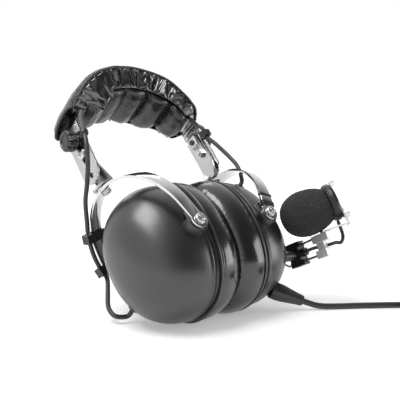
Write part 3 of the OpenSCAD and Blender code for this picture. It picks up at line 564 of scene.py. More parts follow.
class Board:
    """Shorthand for wiring one node tree."""

    def __init__(self, tree: bpy.types.NodeTree) -> None:
        """Starts on a tree."""
        self.tree = tree

    def put(self, kind: str, inputs: dict | None = None, **settings: object) -> bpy.types.Node:
        """Adds a node.

        Args:
            kind: the node's type name after ShaderNode, or in or out for the ends of a group.
            inputs: a value or an output socket for each input, by name or number.
            settings: properties of the node.

        Returns:
            The node.
        """
        ends = {"in": "NodeGroupInput", "out": "NodeGroupOutput"}
        node = self.tree.nodes.new(ends.get(kind, "ShaderNode" + kind))
        for key, value in settings.items():
            setattr(node, key, value)
        for key, value in (inputs or {}).items():
            if isinstance(value, bpy.types.NodeSocket):
                self.tree.links.new(value, node.inputs[key])
            else:
                node.inputs[key].default_value = value
        return node

    def group(self, tree: bpy.types.NodeTree, at: bpy.types.NodeSocket, *values: float) -> bpy.types.Node:
        """Adds a node group.

        Args:
            tree: the group.
            at: the coordinates for its first input.
            values: values of its next inputs.

        Returns:
            The group's node.
        """
        node = self.put("Group", node_tree=tree)
        self.tree.links.new(at, node.inputs[0])
        for socket, value in zip(node.inputs[1:], values):
            socket.default_value = value
        return node

    def sum(self, operation: str, a: object, b: object = 0.0, c: object = 0.0,
            clamp: bool = False) -> bpy.types.NodeSocket:
        """Result of one Math node."""
        return self.put("Math", {0: a, 1: b, 2: c}, operation=operation, use_clamp=clamp).outputs[0]

    def spread(self, value: object, low: float, high: float, to_low: object,
               to_high: object) -> bpy.types.NodeSocket:
        """Result of one Map Range node."""
        return self.put("MapRange", {0: value, 1: low, 2: high, 3: to_low, 4: to_high}).outputs[0]


class Effects:
    """Node groups that several materials share, each built once."""

    @classmethod
    def start(cls, name: str, inputs: dict[str, float | None],
              outputs: Iterable[str]) -> tuple[Board, bpy.types.Node]:
        """Makes an empty group with its sockets; its board holds the tree.

        Args:
            name: name of the group.
            inputs: default of each input; None is a vector.
            outputs: names of the value outputs.

        Returns:
            The board and its input node.
        """
        tree = bpy.data.node_groups.new(name, "ShaderNodeTree")
        for key, value in inputs.items():
            kind = "NodeSocketVector" if value is None else "NodeSocketFloat"
            socket = tree.interface.new_socket(key, in_out="INPUT", socket_type=kind)
            if value is not None:
                socket.default_value = value
        for key in outputs:
            tree.interface.new_socket(key, in_out="OUTPUT", socket_type="NodeSocketFloat")
        board = Board(tree)
        return board, board.put("in")

    @classmethod
    @cache
    def skin(cls) -> bpy.types.NodeTree:
        """Faint moulded skin: a long swell and a fine tooth."""
        b, g = cls.start("moulded_skin", {"Vector": None, "Scale": 900.0, "Swell": 0.3}, ["Height", "Tone"])
        fine = b.put("TexNoise", {"Vector": g.outputs[0], "Scale": g.outputs[1], "Detail": 3.0}).outputs[0]
        slow = b.put("TexNoise", {"Vector": g.outputs[0], "Scale": 70.0, "Detail": 2.0}).outputs[0]
        height = b.sum("MULTIPLY_ADD", slow, g.outputs[2], fine)
        b.put("out", {0: height, 1: slow})
        return b.tree

    @classmethod
    @cache
    def pebble(cls) -> bpy.types.NodeTree:
        """Leather pebbles with creases between them."""
        b, g = cls.start("leather_pebble", {"Vector": None, "Scale": 900.0, "Crease": 0.5},
                         ["Height", "Tone"])
        warp = b.put("TexNoise", {"Vector": g.outputs[0], "Scale": b.sum("MULTIPLY", g.outputs[1], 0.6),
                                  "Detail": 2.0})
        push = b.put("VectorMath", {0: warp.outputs[1], 3: 0.0009}, operation="SCALE").outputs[0]
        at = b.put("VectorMath", {0: g.outputs[0], 1: push}, operation="ADD").outputs[0]
        cell = b.put("TexVoronoi", {"Vector": at, "Scale": g.outputs[1]},
                     feature="DISTANCE_TO_EDGE").outputs[0]
        dome = b.spread(cell, 0.0, 0.35, 0.0, 1.0)
        slow = b.put("TexNoise", {"Vector": g.outputs[0], "Scale": 120.0, "Detail": 3.0}).outputs[0]
        b.put("out", {0: b.sum("MULTIPLY_ADD", slow, g.outputs[2], dome), 1: b.sum("MULTIPLY", dome, slow)})
        return b.tree

    @classmethod
    @cache
    def brushed(cls) -> bpy.types.NodeTree:
        """Fine lines along one axis."""
        b, g = cls.start("brushed_lines", {"Vector": None, "Scale": 2600.0, "Stretch": 0.03},
                         ["Height", "Tone"])
        parts = b.put("SeparateXYZ", {0: g.outputs[0]})
        squeezed = b.sum("MULTIPLY", parts.outputs[2], g.outputs[2])
        at = b.put("CombineXYZ", {0: parts.outputs[0], 1: parts.outputs[1], 2: squeezed}).outputs[0]
        lines = b.put("TexNoise", {"Vector": at, "Scale": g.outputs[1], "Detail": 2.0}).outputs[0]
        slow = b.put("TexNoise", {"Vector": g.outputs[0], "Scale": 60.0, "Detail": 2.0}).outputs[0]
        b.put("out", {0: lines, 1: b.sum("MULTIPLY_ADD", lines, 0.5, b.sum("MULTIPLY", slow, 0.5))})
        return b.tree

    @classmethod
    @cache
    def cells(cls) -> bpy.types.NodeTree:
        """Open foam with pits of two sizes."""
        b, g = cls.start("foam_cells", {"Vector": None, "Scale": 1500.0, "Pits": 0.6}, ["Height", "Tone"])
        small = b.put("TexVoronoi", {"Vector": g.outputs[0], "Scale": g.outputs[1]}).outputs[0]
        coarse = b.sum("MULTIPLY", g.outputs[1], 0.45)
        big = b.put("TexVoronoi", {"Vector": g.outputs[0], "Scale": coarse}).outputs[0]
        pits = b.spread(big, 0.05, 0.45, 0.0, 1.0)
        height = b.sum("MULTIPLY_ADD", pits, g.outputs[2], b.sum("MULTIPLY", small, 0.6))
        b.put("out", {0: height, 1: b.spread(height, 0.1, 0.9, 0.0, 1.0)})
        return b.tree

    @classmethod
    @cache
    def handled(cls) -> bpy.types.NodeTree:
        """Roughness of a handled surface, from smears and a few dull specks."""
        b, g = cls.start("handled_roughness", {"Vector": None, "Low": 0.2, "High": 0.4, "Scale": 40.0},
                         ["Roughness", "Dust"])
        smear = b.put("TexNoise", {"Vector": g.outputs[0], "Scale": g.outputs[3], "Detail": 4.0,
                                   "Distortion": 0.6}).outputs[0]
        speck = b.put("TexNoise", {"Vector": g.outputs[0], "Scale": 1400.0, "Detail": 1.0}).outputs[0]
        dust = b.spread(speck, 0.66, 0.78, 0.0, 1.0)
        rough = b.spread(smear, 0.35, 0.7, g.outputs[1], g.outputs[2])
        b.put("out", {0: b.sum("MULTIPLY_ADD", dust, 0.12, rough, True), 1: dust})
        return b.tree


DUST = (0.5, 0.49, 0.47)
COAT_ROUGHNESS = 0.08


@dataclass(frozen=True)
class Finish:
    """One finish: two tones, a range of roughness, a grain and the shader's plain values."""

    name: str
    colour: tuple[float, float, float]
    second: tuple[float, float, float]
    rough: tuple[float, float]
    grain: Grain = Grain.SMOOTH
    scale: float = 900.0
    bump: float = 0.1
    depth: float = 0.00012
    metallic: float = 0.0
    coat: float = 0.0
    dust: float = 0.0
    sheen: float = 0.0
    specular: float = 0.5
    smear_scale: float = 40.0

    def material(self) -> bpy.types.Material:
        """The material of this finish, built on first use."""
        known = bpy.data.materials.get(self.name)
        return known if known and "finish" in known else self.build()

    def build(self) -> bpy.types.Material:
        """Builds the material.

        Returns:
            A material that reads Object coordinates.
        """
        mat = bpy.data.materials.new(self.name)
        mat["finish"] = self.name
        mat.use_nodes = True
        tree = mat.node_tree
        tree.nodes.clear()
        b = Board(tree)
        at = b.put("TexCoord").outputs["Object"]
        group = {Grain.SMOOTH: Effects.skin, Grain.PEBBLE: Effects.pebble, Grain.BRUSHED: Effects.brushed,
                 Grain.CELLS: Effects.cells, Grain.THREAD: Effects.skin}[self.grain]
        detail = b.group(group(), at, self.scale)
        handled = b.group(Effects.handled(), at, *self.rough, self.smear_scale)
        tone = b.put("Mix", {0: detail.outputs[1], 6: (*self.colour, 1), 7: (*self.second, 1)},
                     data_type="RGBA").outputs[2]
        if self.dust:
            share = b.sum("MULTIPLY", handled.outputs[1], self.dust)
            tone = b.put("Mix", {0: share, 6: tone, 7: (*DUST, 1)}, data_type="RGBA").outputs[2]
        bump = b.put("Bump", {"Strength": self.bump, "Distance": self.depth,
                              "Height": detail.outputs[0]}).outputs[0]
        shader = b.put("BsdfPrincipled", {
            "Base Color": tone, "Roughness": handled.outputs[0], "Metallic": self.metallic,
            "Coat Weight": self.coat, "Coat Roughness": COAT_ROUGHNESS, "Normal": bump,
            "Sheen Weight": self.sheen, "Specular IOR Level": self.specular})
        b.put("OutputMaterial", {0: shader.outputs[0]})
        return mat


@dataclass(frozen=True)
class Palette:
    """Every finish of the headset."""

    shell: Finish = Finish("satin_shell", (0.010, 0.010, 0.011), (0.015, 0.015, 0.016), (0.29, 0.36),
                           bump=0.03, specular=1.0)
    inner: Finish = Finish("matt_moulding", (0.03, 0.03, 0.033), (0.045, 0.045, 0.05), (0.55, 0.7), bump=0.2)
    speaker: Finish = Finish("pressed_basket", (0.16, 0.16, 0.17), (0.22, 0.22, 0.23), (0.35, 0.5),
                             metallic=0.8)
    liner: Finish = Finish("liner_foam", (0.03, 0.03, 0.033), (0.06, 0.06, 0.065), (0.85, 0.95), Grain.CELLS,
                           900.0, 0.6, 0.0005)
    seal: Finish = Finish("seal_vinyl", (0.007, 0.007, 0.0075), (0.012, 0.012, 0.0125), (0.16, 0.26),
                          Grain.PEBBLE, 1100.0, 0.05, 0.00014, coat=0.3, specular=0.8)
    chrome: Finish = Finish("chrome_plate", (0.66, 0.665, 0.67), (0.58, 0.585, 0.59), (0.06, 0.14), bump=0.03,
                            metallic=1.0, scale=500.0)
    screw: Finish = Finish("turned_chrome", (0.68, 0.685, 0.69), (0.55, 0.555, 0.56), (0.10, 0.22), bump=0.08,
                           metallic=1.0, scale=700.0)
    steel: Finish = Finish("brushed_strip", (0.60, 0.605, 0.61), (0.46, 0.465, 0.47), (0.20, 0.34),
                           Grain.BRUSHED, 2600.0, 0.14, 0.00005, 1.0)
    zinc: Finish = Finish("zinc_hardware", (0.60, 0.605, 0.61), (0.46, 0.465, 0.47), (0.14, 0.32), bump=0.15,
                          metallic=1.0, scale=1300.0)
    cast: Finish = Finish("cast_clamp", (0.84, 0.845, 0.85), (0.62, 0.625, 0.63), (0.3, 0.42), bump=0.3,
                          metallic=0.55, scale=1600.0)
    spring: Finish = Finish("spring_strip", (0.46, 0.47, 0.48), (0.36, 0.37, 0.38), (0.22, 0.36),
                            Grain.BRUSHED, 2200.0, 0.12, 0.00005, 1.0)
    knob: Finish = Finish("knob_moulding", (0.010, 0.010, 0.011), (0.02, 0.02, 0.021), (0.26, 0.4), bump=0.5,
                          scale=700.0, specular=0.7, dust=0.08)
    cover: Finish = Finish("cover_leather", (0.012, 0.012, 0.0125), (0.030, 0.030, 0.031), (0.30, 0.44),
                           Grain.PEBBLE, 780.0, 0.75, 0.00035, specular=0.8, dust=0.05)
    gusset: Finish = Finish("gusset_vinyl", (0.006, 0.006, 0.007), (0.011, 0.011, 0.012), (0.10, 0.18),
                            Grain.PEBBLE, 1300.0, 0.06, 0.0001, coat=1.0, specular=1.0)
    piping: Finish = Finish("piping_leather", (0.014, 0.014, 0.015), (0.028, 0.028, 0.03), (0.32, 0.46),
                            Grain.PEBBLE, 1400.0, 0.4, 0.00015, specular=0.7)
    thread: Finish = Finish("black_thread", (0.09, 0.09, 0.092), (0.15, 0.15, 0.152), (0.45, 0.6),
                            Grain.THREAD, 4000.0, 0.6, 0.0001, sheen=0.2)
    cushion: Finish = Finish("cushion_leather", (0.006, 0.006, 0.0065), (0.014, 0.014, 0.0145), (0.24, 0.34),
                             Grain.PEBBLE, 1500.0, 0.18, 0.0002, specular=0.8)
    cable: Finish = Finish("cable_jacket", (0.022, 0.022, 0.024), (0.034, 0.034, 0.036), (0.36, 0.5),
                           bump=0.15, scale=1200.0, specular=0.6)
    sleeve: Finish = Finish("cable_sleeve", (0.07, 0.07, 0.072), (0.11, 0.11, 0.112), (0.3, 0.42), bump=0.2,
                            scale=1500.0)
    clip: Finish = Finish("clip_moulding", (0.008, 0.008, 0.009), (0.014, 0.014, 0.015), (0.25, 0.4),
                          bump=0.12, specular=0.6)
    block: Finish = Finish("block_moulding", (0.009, 0.009, 0.010), (0.015, 0.015, 0.016), (0.3, 0.45),
                           bump=0.2, scale=1400.0)
    foam: Finish = Finish("windscreen_foam", (0.008, 0.008, 0.0085), (0.040, 0.039, 0.039), (0.85, 0.98),
                          Grain.CELLS, 1350.0, 1.0, 0.0008, specular=0.3, sheen=0.05)
    relief: Finish = Finish("relief_rubber", (0.010, 0.010, 0.011), (0.017, 0.017, 0.018), (0.3, 0.42),
                            bump=0.1, scale=1100.0, specular=0.7)
    cord: Finish = Finish("cord_jacket", (0.018, 0.018, 0.020), (0.032, 0.032, 0.034), (0.38, 0.52),
                          bump=0.15, scale=1300.0, specular=0.7, dust=0.08)
    plug: Finish = Finish("plug_grip", (0.012, 0.012, 0.013), (0.02, 0.02, 0.021), (0.3, 0.45), bump=0.12)
    nickel: Finish = Finish("nickel_pin", (0.68, 0.67, 0.64), (0.60, 0.59, 0.56), (0.12, 0.24), bump=0.04,
                            metallic=1.0)


LOOK = Palette()


# ---------------------------------------------------------------- studio

@dataclass
class Studio:
    """Camera, floor and light.

    The floor's glow and the dark wall run from one pair of place and strength to another.
    """

    eye: tuple[float, float, float] = (-0.3211, -0.3502, 0.1217)
    aim: tuple[float, float, float] = (0.0074, -0.0060, 0.0837)
    lens: float = 54.86
    floor_size: float = 30.0
    floor_tone: float = 0.92
    glow_from: tuple[float, float] = (0.3, 0.32)
    glow_to: tuple[float, float] = (1.3, 0.75)
    world_light: float = 0.42
    dark_side: tuple[float, float, float] = (0.45, -0.86, 0.24)
    wall_from: tuple[float, float] = (0.05, 1.0)
    wall_to: tuple[float, float] = (0.85, 0.12)
    boxes: tuple[tuple[str, Point, float, float], ...] = (
        ("key_box", (-0.52, 0.05, 1.05), 0.70, 9.4),
        ("edge_box", (0.85, -0.72, 0.2), 0.55, 3.4),
        ("back_box", (0.45, 0.9, 0.75), 0.8, 2.6))

    def camera(self) -> None:
        """Places the camera."""
        data = bpy.data.cameras.new("camera")
        data.lens, data.sensor_width = self.lens, 36.0
        data.clip_start, data.clip_end = 0.01, 50.0
        cam = bpy.data.objects.new("camera", data)
        bpy.context.scene.collection.objects.link(cam)
        cam.location = self.eye
        cam.rotation_euler = (Vector(self.aim) - Vector(self.eye)).to_track_quat("-Z", "Y").to_euler()
        bpy.context.scene.camera = cam

    def floor(self) -> None:
        """Lays a white floor that keeps the shadow and brightens into the backdrop far away."""
        deselect()
        bpy.ops.mesh.primitive_plane_add(size=self.floor_size)
        plane = bpy.context.object
        plane.name = "floor"
        mat = bpy.data.materials.new("studio_floor")
        mat.use_nodes = True
        mat.node_tree.nodes.clear()
        b = Board(mat.node_tree)
        tone = self.floor_tone
        paint = b.put("BsdfDiffuse", {"Color": (tone, tone, tone, 1)}).outputs[0]
        at = b.put("TexCoord").outputs["Object"]
        away = b.put("VectorMath", {0: at}, operation="LENGTH").outputs["Value"]
        (near, dim), (far, bright) = self.glow_from, self.glow_to
        lift = b.spread(away, near, far, dim, bright)
        path = b.put("LightPath").outputs
        mirrored = b.sum("ADD", path["Is Glossy Ray"], path["Is Transmission Ray"])
        seen = b.sum("ADD", path["Is Camera Ray"], mirrored, clamp=True)
        strength = b.sum("MULTIPLY", seen, lift)
        glow = b.put("Emission", {"Color": (1, 1, 1, 1), "Strength": strength}).outputs[0]
        both = b.put("AddShader", {0: paint, 1: glow}).outputs[0]
        b.put("OutputMaterial", {0: both})
        plane.data.materials.append(mat)

    def light(self) -> None:
        """Sets the white world, darker for gloss on its front right side, and the soft boxes."""
        world = bpy.data.worlds.new("studio")
        bpy.context.scene.world = world
        world.use_nodes = True
        world.node_tree.nodes.clear()
        b = Board(world.node_tree)
        path = b.put("LightPath").outputs
        way = b.put("TexCoord").outputs["Object"]
        toward = b.put("VectorMath", {0: way, 1: self.dark_side}, operation="DOT_PRODUCT").outputs["Value"]
        (edge, bright), (middle, dim) = self.wall_from, self.wall_to
        wall = b.put("MapRange", {0: toward, 1: edge, 2: middle, 3: bright, 4: dim},
                     interpolation_type="SMOOTHSTEP").outputs[0]
        white = b.sum("ADD", path["Is Camera Ray"], path["Is Transmission Ray"], clamp=True)
        plain = b.spread(white, 0.0, 1.0, self.world_light, 1.0)
        strength = b.put("Mix", {0: path["Is Glossy Ray"], 2: plain, 3: wall}, data_type="FLOAT").outputs[0]
        sky = b.put("Background", {0: (1, 1, 1, 1), 1: strength})
        b.put("OutputWorld", {0: sky.outputs[0]})
        for box in self.boxes:
            self.box(*box)

    def box(self, name: str, at: Point, size: float, watts: float) -> None:
        """Adds one square soft box that faces the headset.

        Args:
            name: name of the lamp.
            at: its place, metres.
            size: its side, metres.
            watts: its power.
        """
        data = bpy.data.lights.new(name, "AREA")
        data.shape, data.size, data.energy = "SQUARE", size, watts
        lamp = bpy.data.objects.new(name, data)
        bpy.context.scene.collection.objects.link(lamp)
        lamp.location = at
        lamp.rotation_euler = (Vector((0, 0, 0.08)) - Vector(at)).to_track_quat("-Z", "Y").to_euler()

    def build(self) -> None:
        """Builds the camera, the floor and the light."""
        bpy.context.scene.view_settings.view_transform = "Standard"
        self.camera()
        self.floor()
        self.light()


# ---------------------------------------------------------------- cords

@dataclass
class CordSet:
    """Main cord with its coil, the junction, two leads and their plugs. Points are row millimetres."""

    cord_d: float = 4.6
    lead_d: float = 3.8
    grip_len: float = 36.0
    ribs_from: float = 12.0
    ribs_to: float = 33.0
    rib_pitch: float = 1.4
    rib_depth: float = 0.45
    coil_at: tuple[float, float] = (117.0, -162.0)
    coil_r: float = 27.0
    enter: float = 51.1
    start: tuple[float, float, float] = (53.0, -71.9, 7.52)
    route: tuple[Point, ...] = (
        (57, -74.8, 5.6), (62, -78.4, 3.6), (68, -82.8, 2.6), (78, -90.2, 2.3), (90, -99.2, 2.3),
        (104, -110.5, 2.3), (118, -122, 2.3), (131, -132.5, 2.3))
    tail: tuple[Point, ...] = ((148.2, -144.4, 9.6), (151.0, -150.6, 7.2), (152.9, -155.2, 5.6),
                               (154.1, -157.0, 5.2))
    junction: Point = (154.1, -157.0, 5.2)
    junction_way: Point = (20.0, -23.8, 0.0)
    phone: tuple[Point, ...] = (
        (169.8, -172.5, 5.2), (173, -176.3, 4.2), (177.7, -179.8, 2.6), (183.3, -179.6, 2),
        (186.8, -175.4, 2.2), (187, -169.4, 3.6), (186.6, -163.5, 6))
    mic: tuple[Point, ...] = (
        (166.6, -175.2, 5.2), (170.1, -179.4, 4), (175.5, -184.8, 2.3), (182.5, -187.8, 2),
        (190.5, -186.4, 2), (197, -181.2, 2.2), (200, -173.8, 3.4), (200.4, -166, 5.6))

    def coil(self) -> np.ndarray:
        """Points of the wound turns: three below, three between and two on top.

        Returns:
            Points from the entry on the outer bottom turn to the exit on top.
        """
        s = np.arange(0.0, 8.031, 1 / 40)
        d = self.cord_d
        shift = d * (-ramp(s, 0.75, 1) - ramp(s, 1.75, 2) + ramp(s, 3.75, 4) + ramp(s, 4.75, 5)
                     - ramp(s, 5.8, 6) + ramp(s, 6.8, 7) + ramp(s, 7.62, 7.84))
        bulge = 0.45 * d * (-np.sin(np.pi * np.clip((s - 2.75) / 0.25, 0, 1)))
        r = self.coil_r + d + shift + bulge
        z = d / 2 + d * (ramp(s, 2.75, 3) + ramp(s, 5.6, 5.8))
        z += d * np.cos(np.pi / 2 * np.clip((s - 6.9) / 0.2, -1, 1)) ** 2 - 1.2 * ramp(s, 7.86, 8.03)
        a = np.radians(self.enter) - 2 * np.pi * s
        return np.stack([self.coil_at[0] + r * np.cos(a), self.coil_at[1] + r * np.sin(a), z], 1)

    def build(self) -> None:
        coil = self.coil()
        lead_in = flowing([self.start, *self.route, coil[0], coil[2]], 6)[:-6]
        lead_out = flowing([coil[-3], coil[-1], *self.tail], 5)[5:]
        line = np.vstack([lead_in, coil[1:-1], lead_out])
        cord = path_curve("main_cord_jacket", line, self.cord_d / 2)
        settle(cord, "left_cup", LOOK.cord, "cord_rubber", "main_cord", "cord_coil")
        place = Matrix.Scale(MM, 4) @ lead_to(self.junction, self.junction_way)
        shape = rounded([(0, -0.4), (2.6, -0.4), (3.4, 0.6), (4.7, 4), (4.8, 20.6), (4.2, 22), (0, 22)], 1.2)
        fork = lathe("cord_fork", shape, place, 40)
        settle(fork, "left_cup", LOOK.relief, "relief_rubber", "y_junction")
        length = run_length(line)
        log.info("main cord %.3f m", length)
        for name, points, grip_r, pin, neck, pin_len in (("phone", self.phone, 5.8, 6.35, 4.6, 31.8),
                                                         ("mic", self.mic, 5.4, 5.232, 3.8, 29.4)):
            run = flowing(points, 6)
            lead = path_curve(f"{name}_lead_jacket", run, self.lead_d / 2)
            settle(lead, "left_cup", LOOK.cord, "cord_rubber", f"{name}_lead")
            plug = self.plug(name, points[-1], grip_r, pin / 2, neck / 2, pin_len)
            run_length(run)

    def plug(self, name: str, at: Point, grip_r: float, pin_r: float, neck_r: float,
             pin_len: float) -> list[bpy.types.Object]:
        """Ribbed grip and stepped pin of one plug.

        Args:
            name: phone or mic.
            at: where the lead goes in.
            grip_r: radius of the grip.
            pin_r: radius of the pin.
            neck_r: radius of the ring groove behind the tip.
            pin_len: length of the pin with its tip.

        Returns:
            The grip and the pin.
        """
        place = Matrix.Scale(MM, 4) @ lead_to(at, (0, 1, 0))
        end, low, high = self.grip_len, self.ribs_from, self.ribs_to
        shape = rounded([(0, -0.3), (2.4, -0.3), (3.2, 1), (grip_r - 1, 6), (grip_r, 10), (grip_r, end - 2),
                         (grip_r - 1.2, end), (0, end)], 0.8)
        bands = [(grip_r - 0.01, z) for z in np.arange(low, high, self.rib_pitch / 2)]
        rows = [p for p in shape if p[1] < low - 1] + bands + [p for p in shape if p[1] > high + 0.2]
        heights = np.asarray(rows)[:, 1]

        def ribs(a: np.ndarray, i: np.ndarray) -> np.ndarray:
            """Rings on the middle of the grip.

            Args:
                a: angle round the axis.
                i: row of the profile.

            Returns:
                What the radius gains.
            """
            h = heights[i]
            ring = np.sin((h - low) * math.pi / self.rib_pitch) > 0
            return -self.rib_depth * ring * ((h > low + 0.2) & (h < high - 0.4))

        grip = lathe(f"{name}_plug_grip", rows, place, 40, 30, ribs)
        settle(grip, "left_cup", LOOK.plug, "plug_black", f"{name}_plug")
        tip = end + pin_len - 7
        pin = rounded([(0, end - 0.2), (pin_r + 0.9, end - 0.2), (pin_r + 0.9, end + 1.4), (pin_r, end + 1.6),
                       (pin_r, tip), (neck_r, tip + 1.6), (pin_r, tip + 4), (pin_r - 0.4, tip + 6),
                       (0.8, tip + 7), (0, tip + 7)], 0.5)
        metal = lathe(f"{name}_plug_pin", pin, place, 40, 35)
        settle(metal, "left_cup", LOOK.nickel, "plug_black")
        return [grip, metal]


# ---------------------------------------------------------------- ear cups

@dataclass
class EarCup:
    """Shell, seal, screws and inner parts of one cup; side 1 is the wearer's left."""

    side: int
    half_len: float = 40.4
    half_height: float = 50.0
    shift_y: float = -1.2
    shift_z: float = 2.9
    rim_x: float = 28.6
    depth: float = 43.8
    dome_power: float = 2.3
    flange_x: float = 21.4
    flange_t: float = 1.7
    reach: float = 2.0
    groove: float = 1.2
    wall: float = 2.5
    pivot_x: float = 35.6
    lug_end: float = 47.3
    lug_len: float = 14.0
    lug_r: float = 7.6
    arch_r: float = 47.6

    @property
    def name(self) -> str:
        """left or right."""
        return "left" if self.side > 0 else "right"

    @property
    def place(self) -> Matrix:
        """Upright millimetres of this side to the row frame."""
        return REST.matrix(self.side)

    def ring(self, a: np.ndarray, x: np.ndarray, k: np.ndarray, d: np.ndarray) -> np.ndarray:
        """Points of the cup outline.

        Args:
            a: angle round the outline, radians.
            x: distance from the middle of the head.
            k: how far the outline is scaled.
            d: how far it is moved out.

        Returns:
            The points.
        """
        y, z = oval(a, self.half_len * k + d, self.half_height * k + d)
        return np.stack([x, y + self.shift_y, z + self.shift_z], 1)

    def shell(self) -> bpy.types.Object:
        """Deep dome, straight skirt, undercut groove, flange and inside.

        Returns:
            The shell with its lugs.
        """
        t = np.radians([90, 87, *range(83, 12, -5), 9, 6, 4, 2.5])
        power = 2 / self.dome_power
        dome = [(self.rim_x + self.depth * math.sin(q) ** power, max(math.cos(q), 0) ** power, 0.0)
                for q in t]
        rim, deep, thick, out = self.rim_x, -self.groove, -self.wall, self.reach
        top, low = self.flange_x + self.flange_t, self.flange_x
        edge = [(rim + 0.5, 0.9995, 0.0), (rim + 0.25, 1, 0.18), (rim - 0.2, 1, 0.3), (rim - 0.9, 1, 0.3),
                (rim - 1.2, 1, 0.15), (rim - 1.3, 1, -0.3), (rim - 1.6, 1, deep + 0.2), (rim - 2.0, 1, deep),
                (top + 0.5, 1, deep), (top + 0.1, 1, deep + 0.35), (top, 1, out - 0.5),
                (top - 0.12, 1, out - 0.12), (top - 0.5, 1, out), (low + 0.5, 1, out),
                (low + 0.1, 1, out - 0.15), (low, 1, out - 0.5), (low, 1, thick - 0.3),
                (low + 2.9, 1, thick - 0.3), (low + 2.9, 1, thick - 2.6), (rim, 1, thick - 2.6)]
        inner = [(rim + (self.depth - self.wall) * math.sin(q) ** power, max(math.cos(q), 0) ** power,
                  thick * max(math.cos(q), 0) ** 0.5) for q in t[::-1]]
        rows = np.asarray(dome + edge + inner)

        def surface(u: np.ndarray, v: np.ndarray) -> np.ndarray:
            """Points of the shell."""
            x, k, d = rows[row_of(v, rows)].T
            return self.ring(2 * math.pi * u, x, k, np.where(k < 1e-6, 0, d))

        obj = loft(f"{self.name}_shell", surface, 144, len(rows) - 1, self.place, 42)
        lugs = [self.lug(s) for s in (-1, 1)]
        obj = join(f"{self.name}_shell", [obj, *lugs])
        return settle(obj, f"{self.name}_cup", LOOK.shell, "shell_black", f"{self.name}_cup_shell")

    def lug(self, s: int) -> bpy.types.Object:
        """Moulded pivot lug with a flat side.

        Args:
            s: -1 for the front of the shell, 1 for its back.

        Returns:
            The lug.
        """
        deselect()
        bpy.ops.mesh.primitive_cylinder_add(vertices=64, radius=self.lug_r, depth=self.lug_len)
        obj = bpy.context.object
        with editing(obj):
            bpy.ops.mesh.bisect(plane_co=(0, 3.0, 0), plane_no=(0, 1, 0), use_fill=True, clear_outer=True)
        finish_modifier(obj, "BEVEL", width=1.3, segments=4, limit_method="ANGLE",
                        angle_limit=math.radians(40))
        middle = s * (self.lug_end - self.lug_len / 2)
        turn = Matrix.Translation((self.pivot_x, middle, 0)) @ Matrix.Rotation(math.pi / 2, 4, "X")
        obj.data.transform(self.place @ turn)
        return tidy(obj, 35)

    def seal(self) -> bpy.types.Object:
        """Glossy seal ring with a rounded face, a sewn seam and puckers by the crease.

        Returns:
            The seal.
        """
        section = flowing([(21.1, -3), (20.9, 0.4), (20.2, 1.5), (17.6, 1.75), (14, 1.7), (10.5, 1.2),
                           (7.0, 0.2), (4.0, -1.2), (1.9, -2.9), (0.75, -5), (0.35, -7.6), (0.4, -10.8),
                           (1.2, -13.6), (3.2, -15.6), (6.5, -16.3), (11, -16.0), (17, -14.6),
                           (21.1, -13)], 4)

        def surface(u: np.ndarray, v: np.ndarray) -> np.ndarray:
            """Points of the seal.

            Args:
                u: way round the cup.
                v: way round the section.

            Returns:
                The points.
            """
            j = v * (len(section) - 1)
            x, d = (np.interp(j, np.arange(len(section)), column) for column in section.T)
            a = 2 * math.pi * u
            near_face = ramp(-d, 0.5, 3.2) * ramp(-d, 9.5, 5.5) * ramp(x, 9.0, 4.0)
            spread = 0.35 + 0.65 * ramp(np.sin(a), 0.1, -0.8)
            pucker = np.maximum(0, wander(u * 170, 11 + self.side)) ** 1.5 * spread
            swell = 0.22 * wander2(u * 26, v * 5, 5 + self.side) * ramp(d, -6, -1)
            seam = -0.35 * np.exp(-(((x - 19.4) / 0.35) ** 2)) * (d > 0)
            return self.ring(a, x, np.ones_like(x), d - 0.95 * pucker * near_face + swell + seam)

        obj = loft(f"{self.name}_seal_ring", surface, 340, 84, self.place)
        with editing(obj):
            bpy.ops.mesh.select_all(action="DESELECT")
            bpy.ops.mesh.select_non_manifold()
            bpy.ops.mesh.bridge_edge_loops()
            bpy.ops.mesh.select_all(action="SELECT")
            bpy.ops.mesh.normals_make_consistent(inside=False)
        settle(obj, f"{self.name}_cup", LOOK.seal, "seal_vinyl", f"{self.name}_ear_seal")
        return obj

    def screws(self) -> None:
        """Recessed round screw heads on both pivots."""
        made = []
        shape = rounded([(0, 0.55), (1.5, 0.55), (1.6, 1.2), (2.2, 1.35), (2.35, 0.8), (2.75, 0.8),
                         (2.9, 1.75), (3.45, 1.8), (3.8, 1.3), (3.8, 0.0), (2.0, 0.0), (2.0, -7.4),
                         (0, -7.4)], 0.25, 2)
        slot = Matrix.Translation((0, 0, 1.4)) @ Matrix.Diagonal((3.1, 0.7, 1.2, 1))
        for s in (-1, 1):
            seat = Matrix.Translation((self.pivot_x, s * (self.arch_r + 2.3), 0))
            out = self.place @ seat @ Matrix.Rotation(-s * math.pi / 2, 4, "X")
            head = lathe("screw_head", shape, out, 56, 30)
            deselect()
            bpy.ops.mesh.primitive_cube_add(size=1.0)
            cutter = bpy.context.object
            cutter.data.transform(out @ Matrix.Rotation(0.5, 4, "Z") @ slot)
            tidy(cutter)
            finish_modifier(head, "BOOLEAN", object=cutter, operation="DIFFERENCE", solver="EXACT")
            bpy.data.objects.remove(cutter)
            made.append(head)
        obj = join(f"{self.name}_pivot_screw_pair", made)
        hold(obj)
        bpy.ops.object.shade_smooth_by_angle(angle=math.radians(30))
        settle(obj, f"{self.name}_cup", LOOK.screw, "chrome_small", f"{self.name}_pivot_screws")

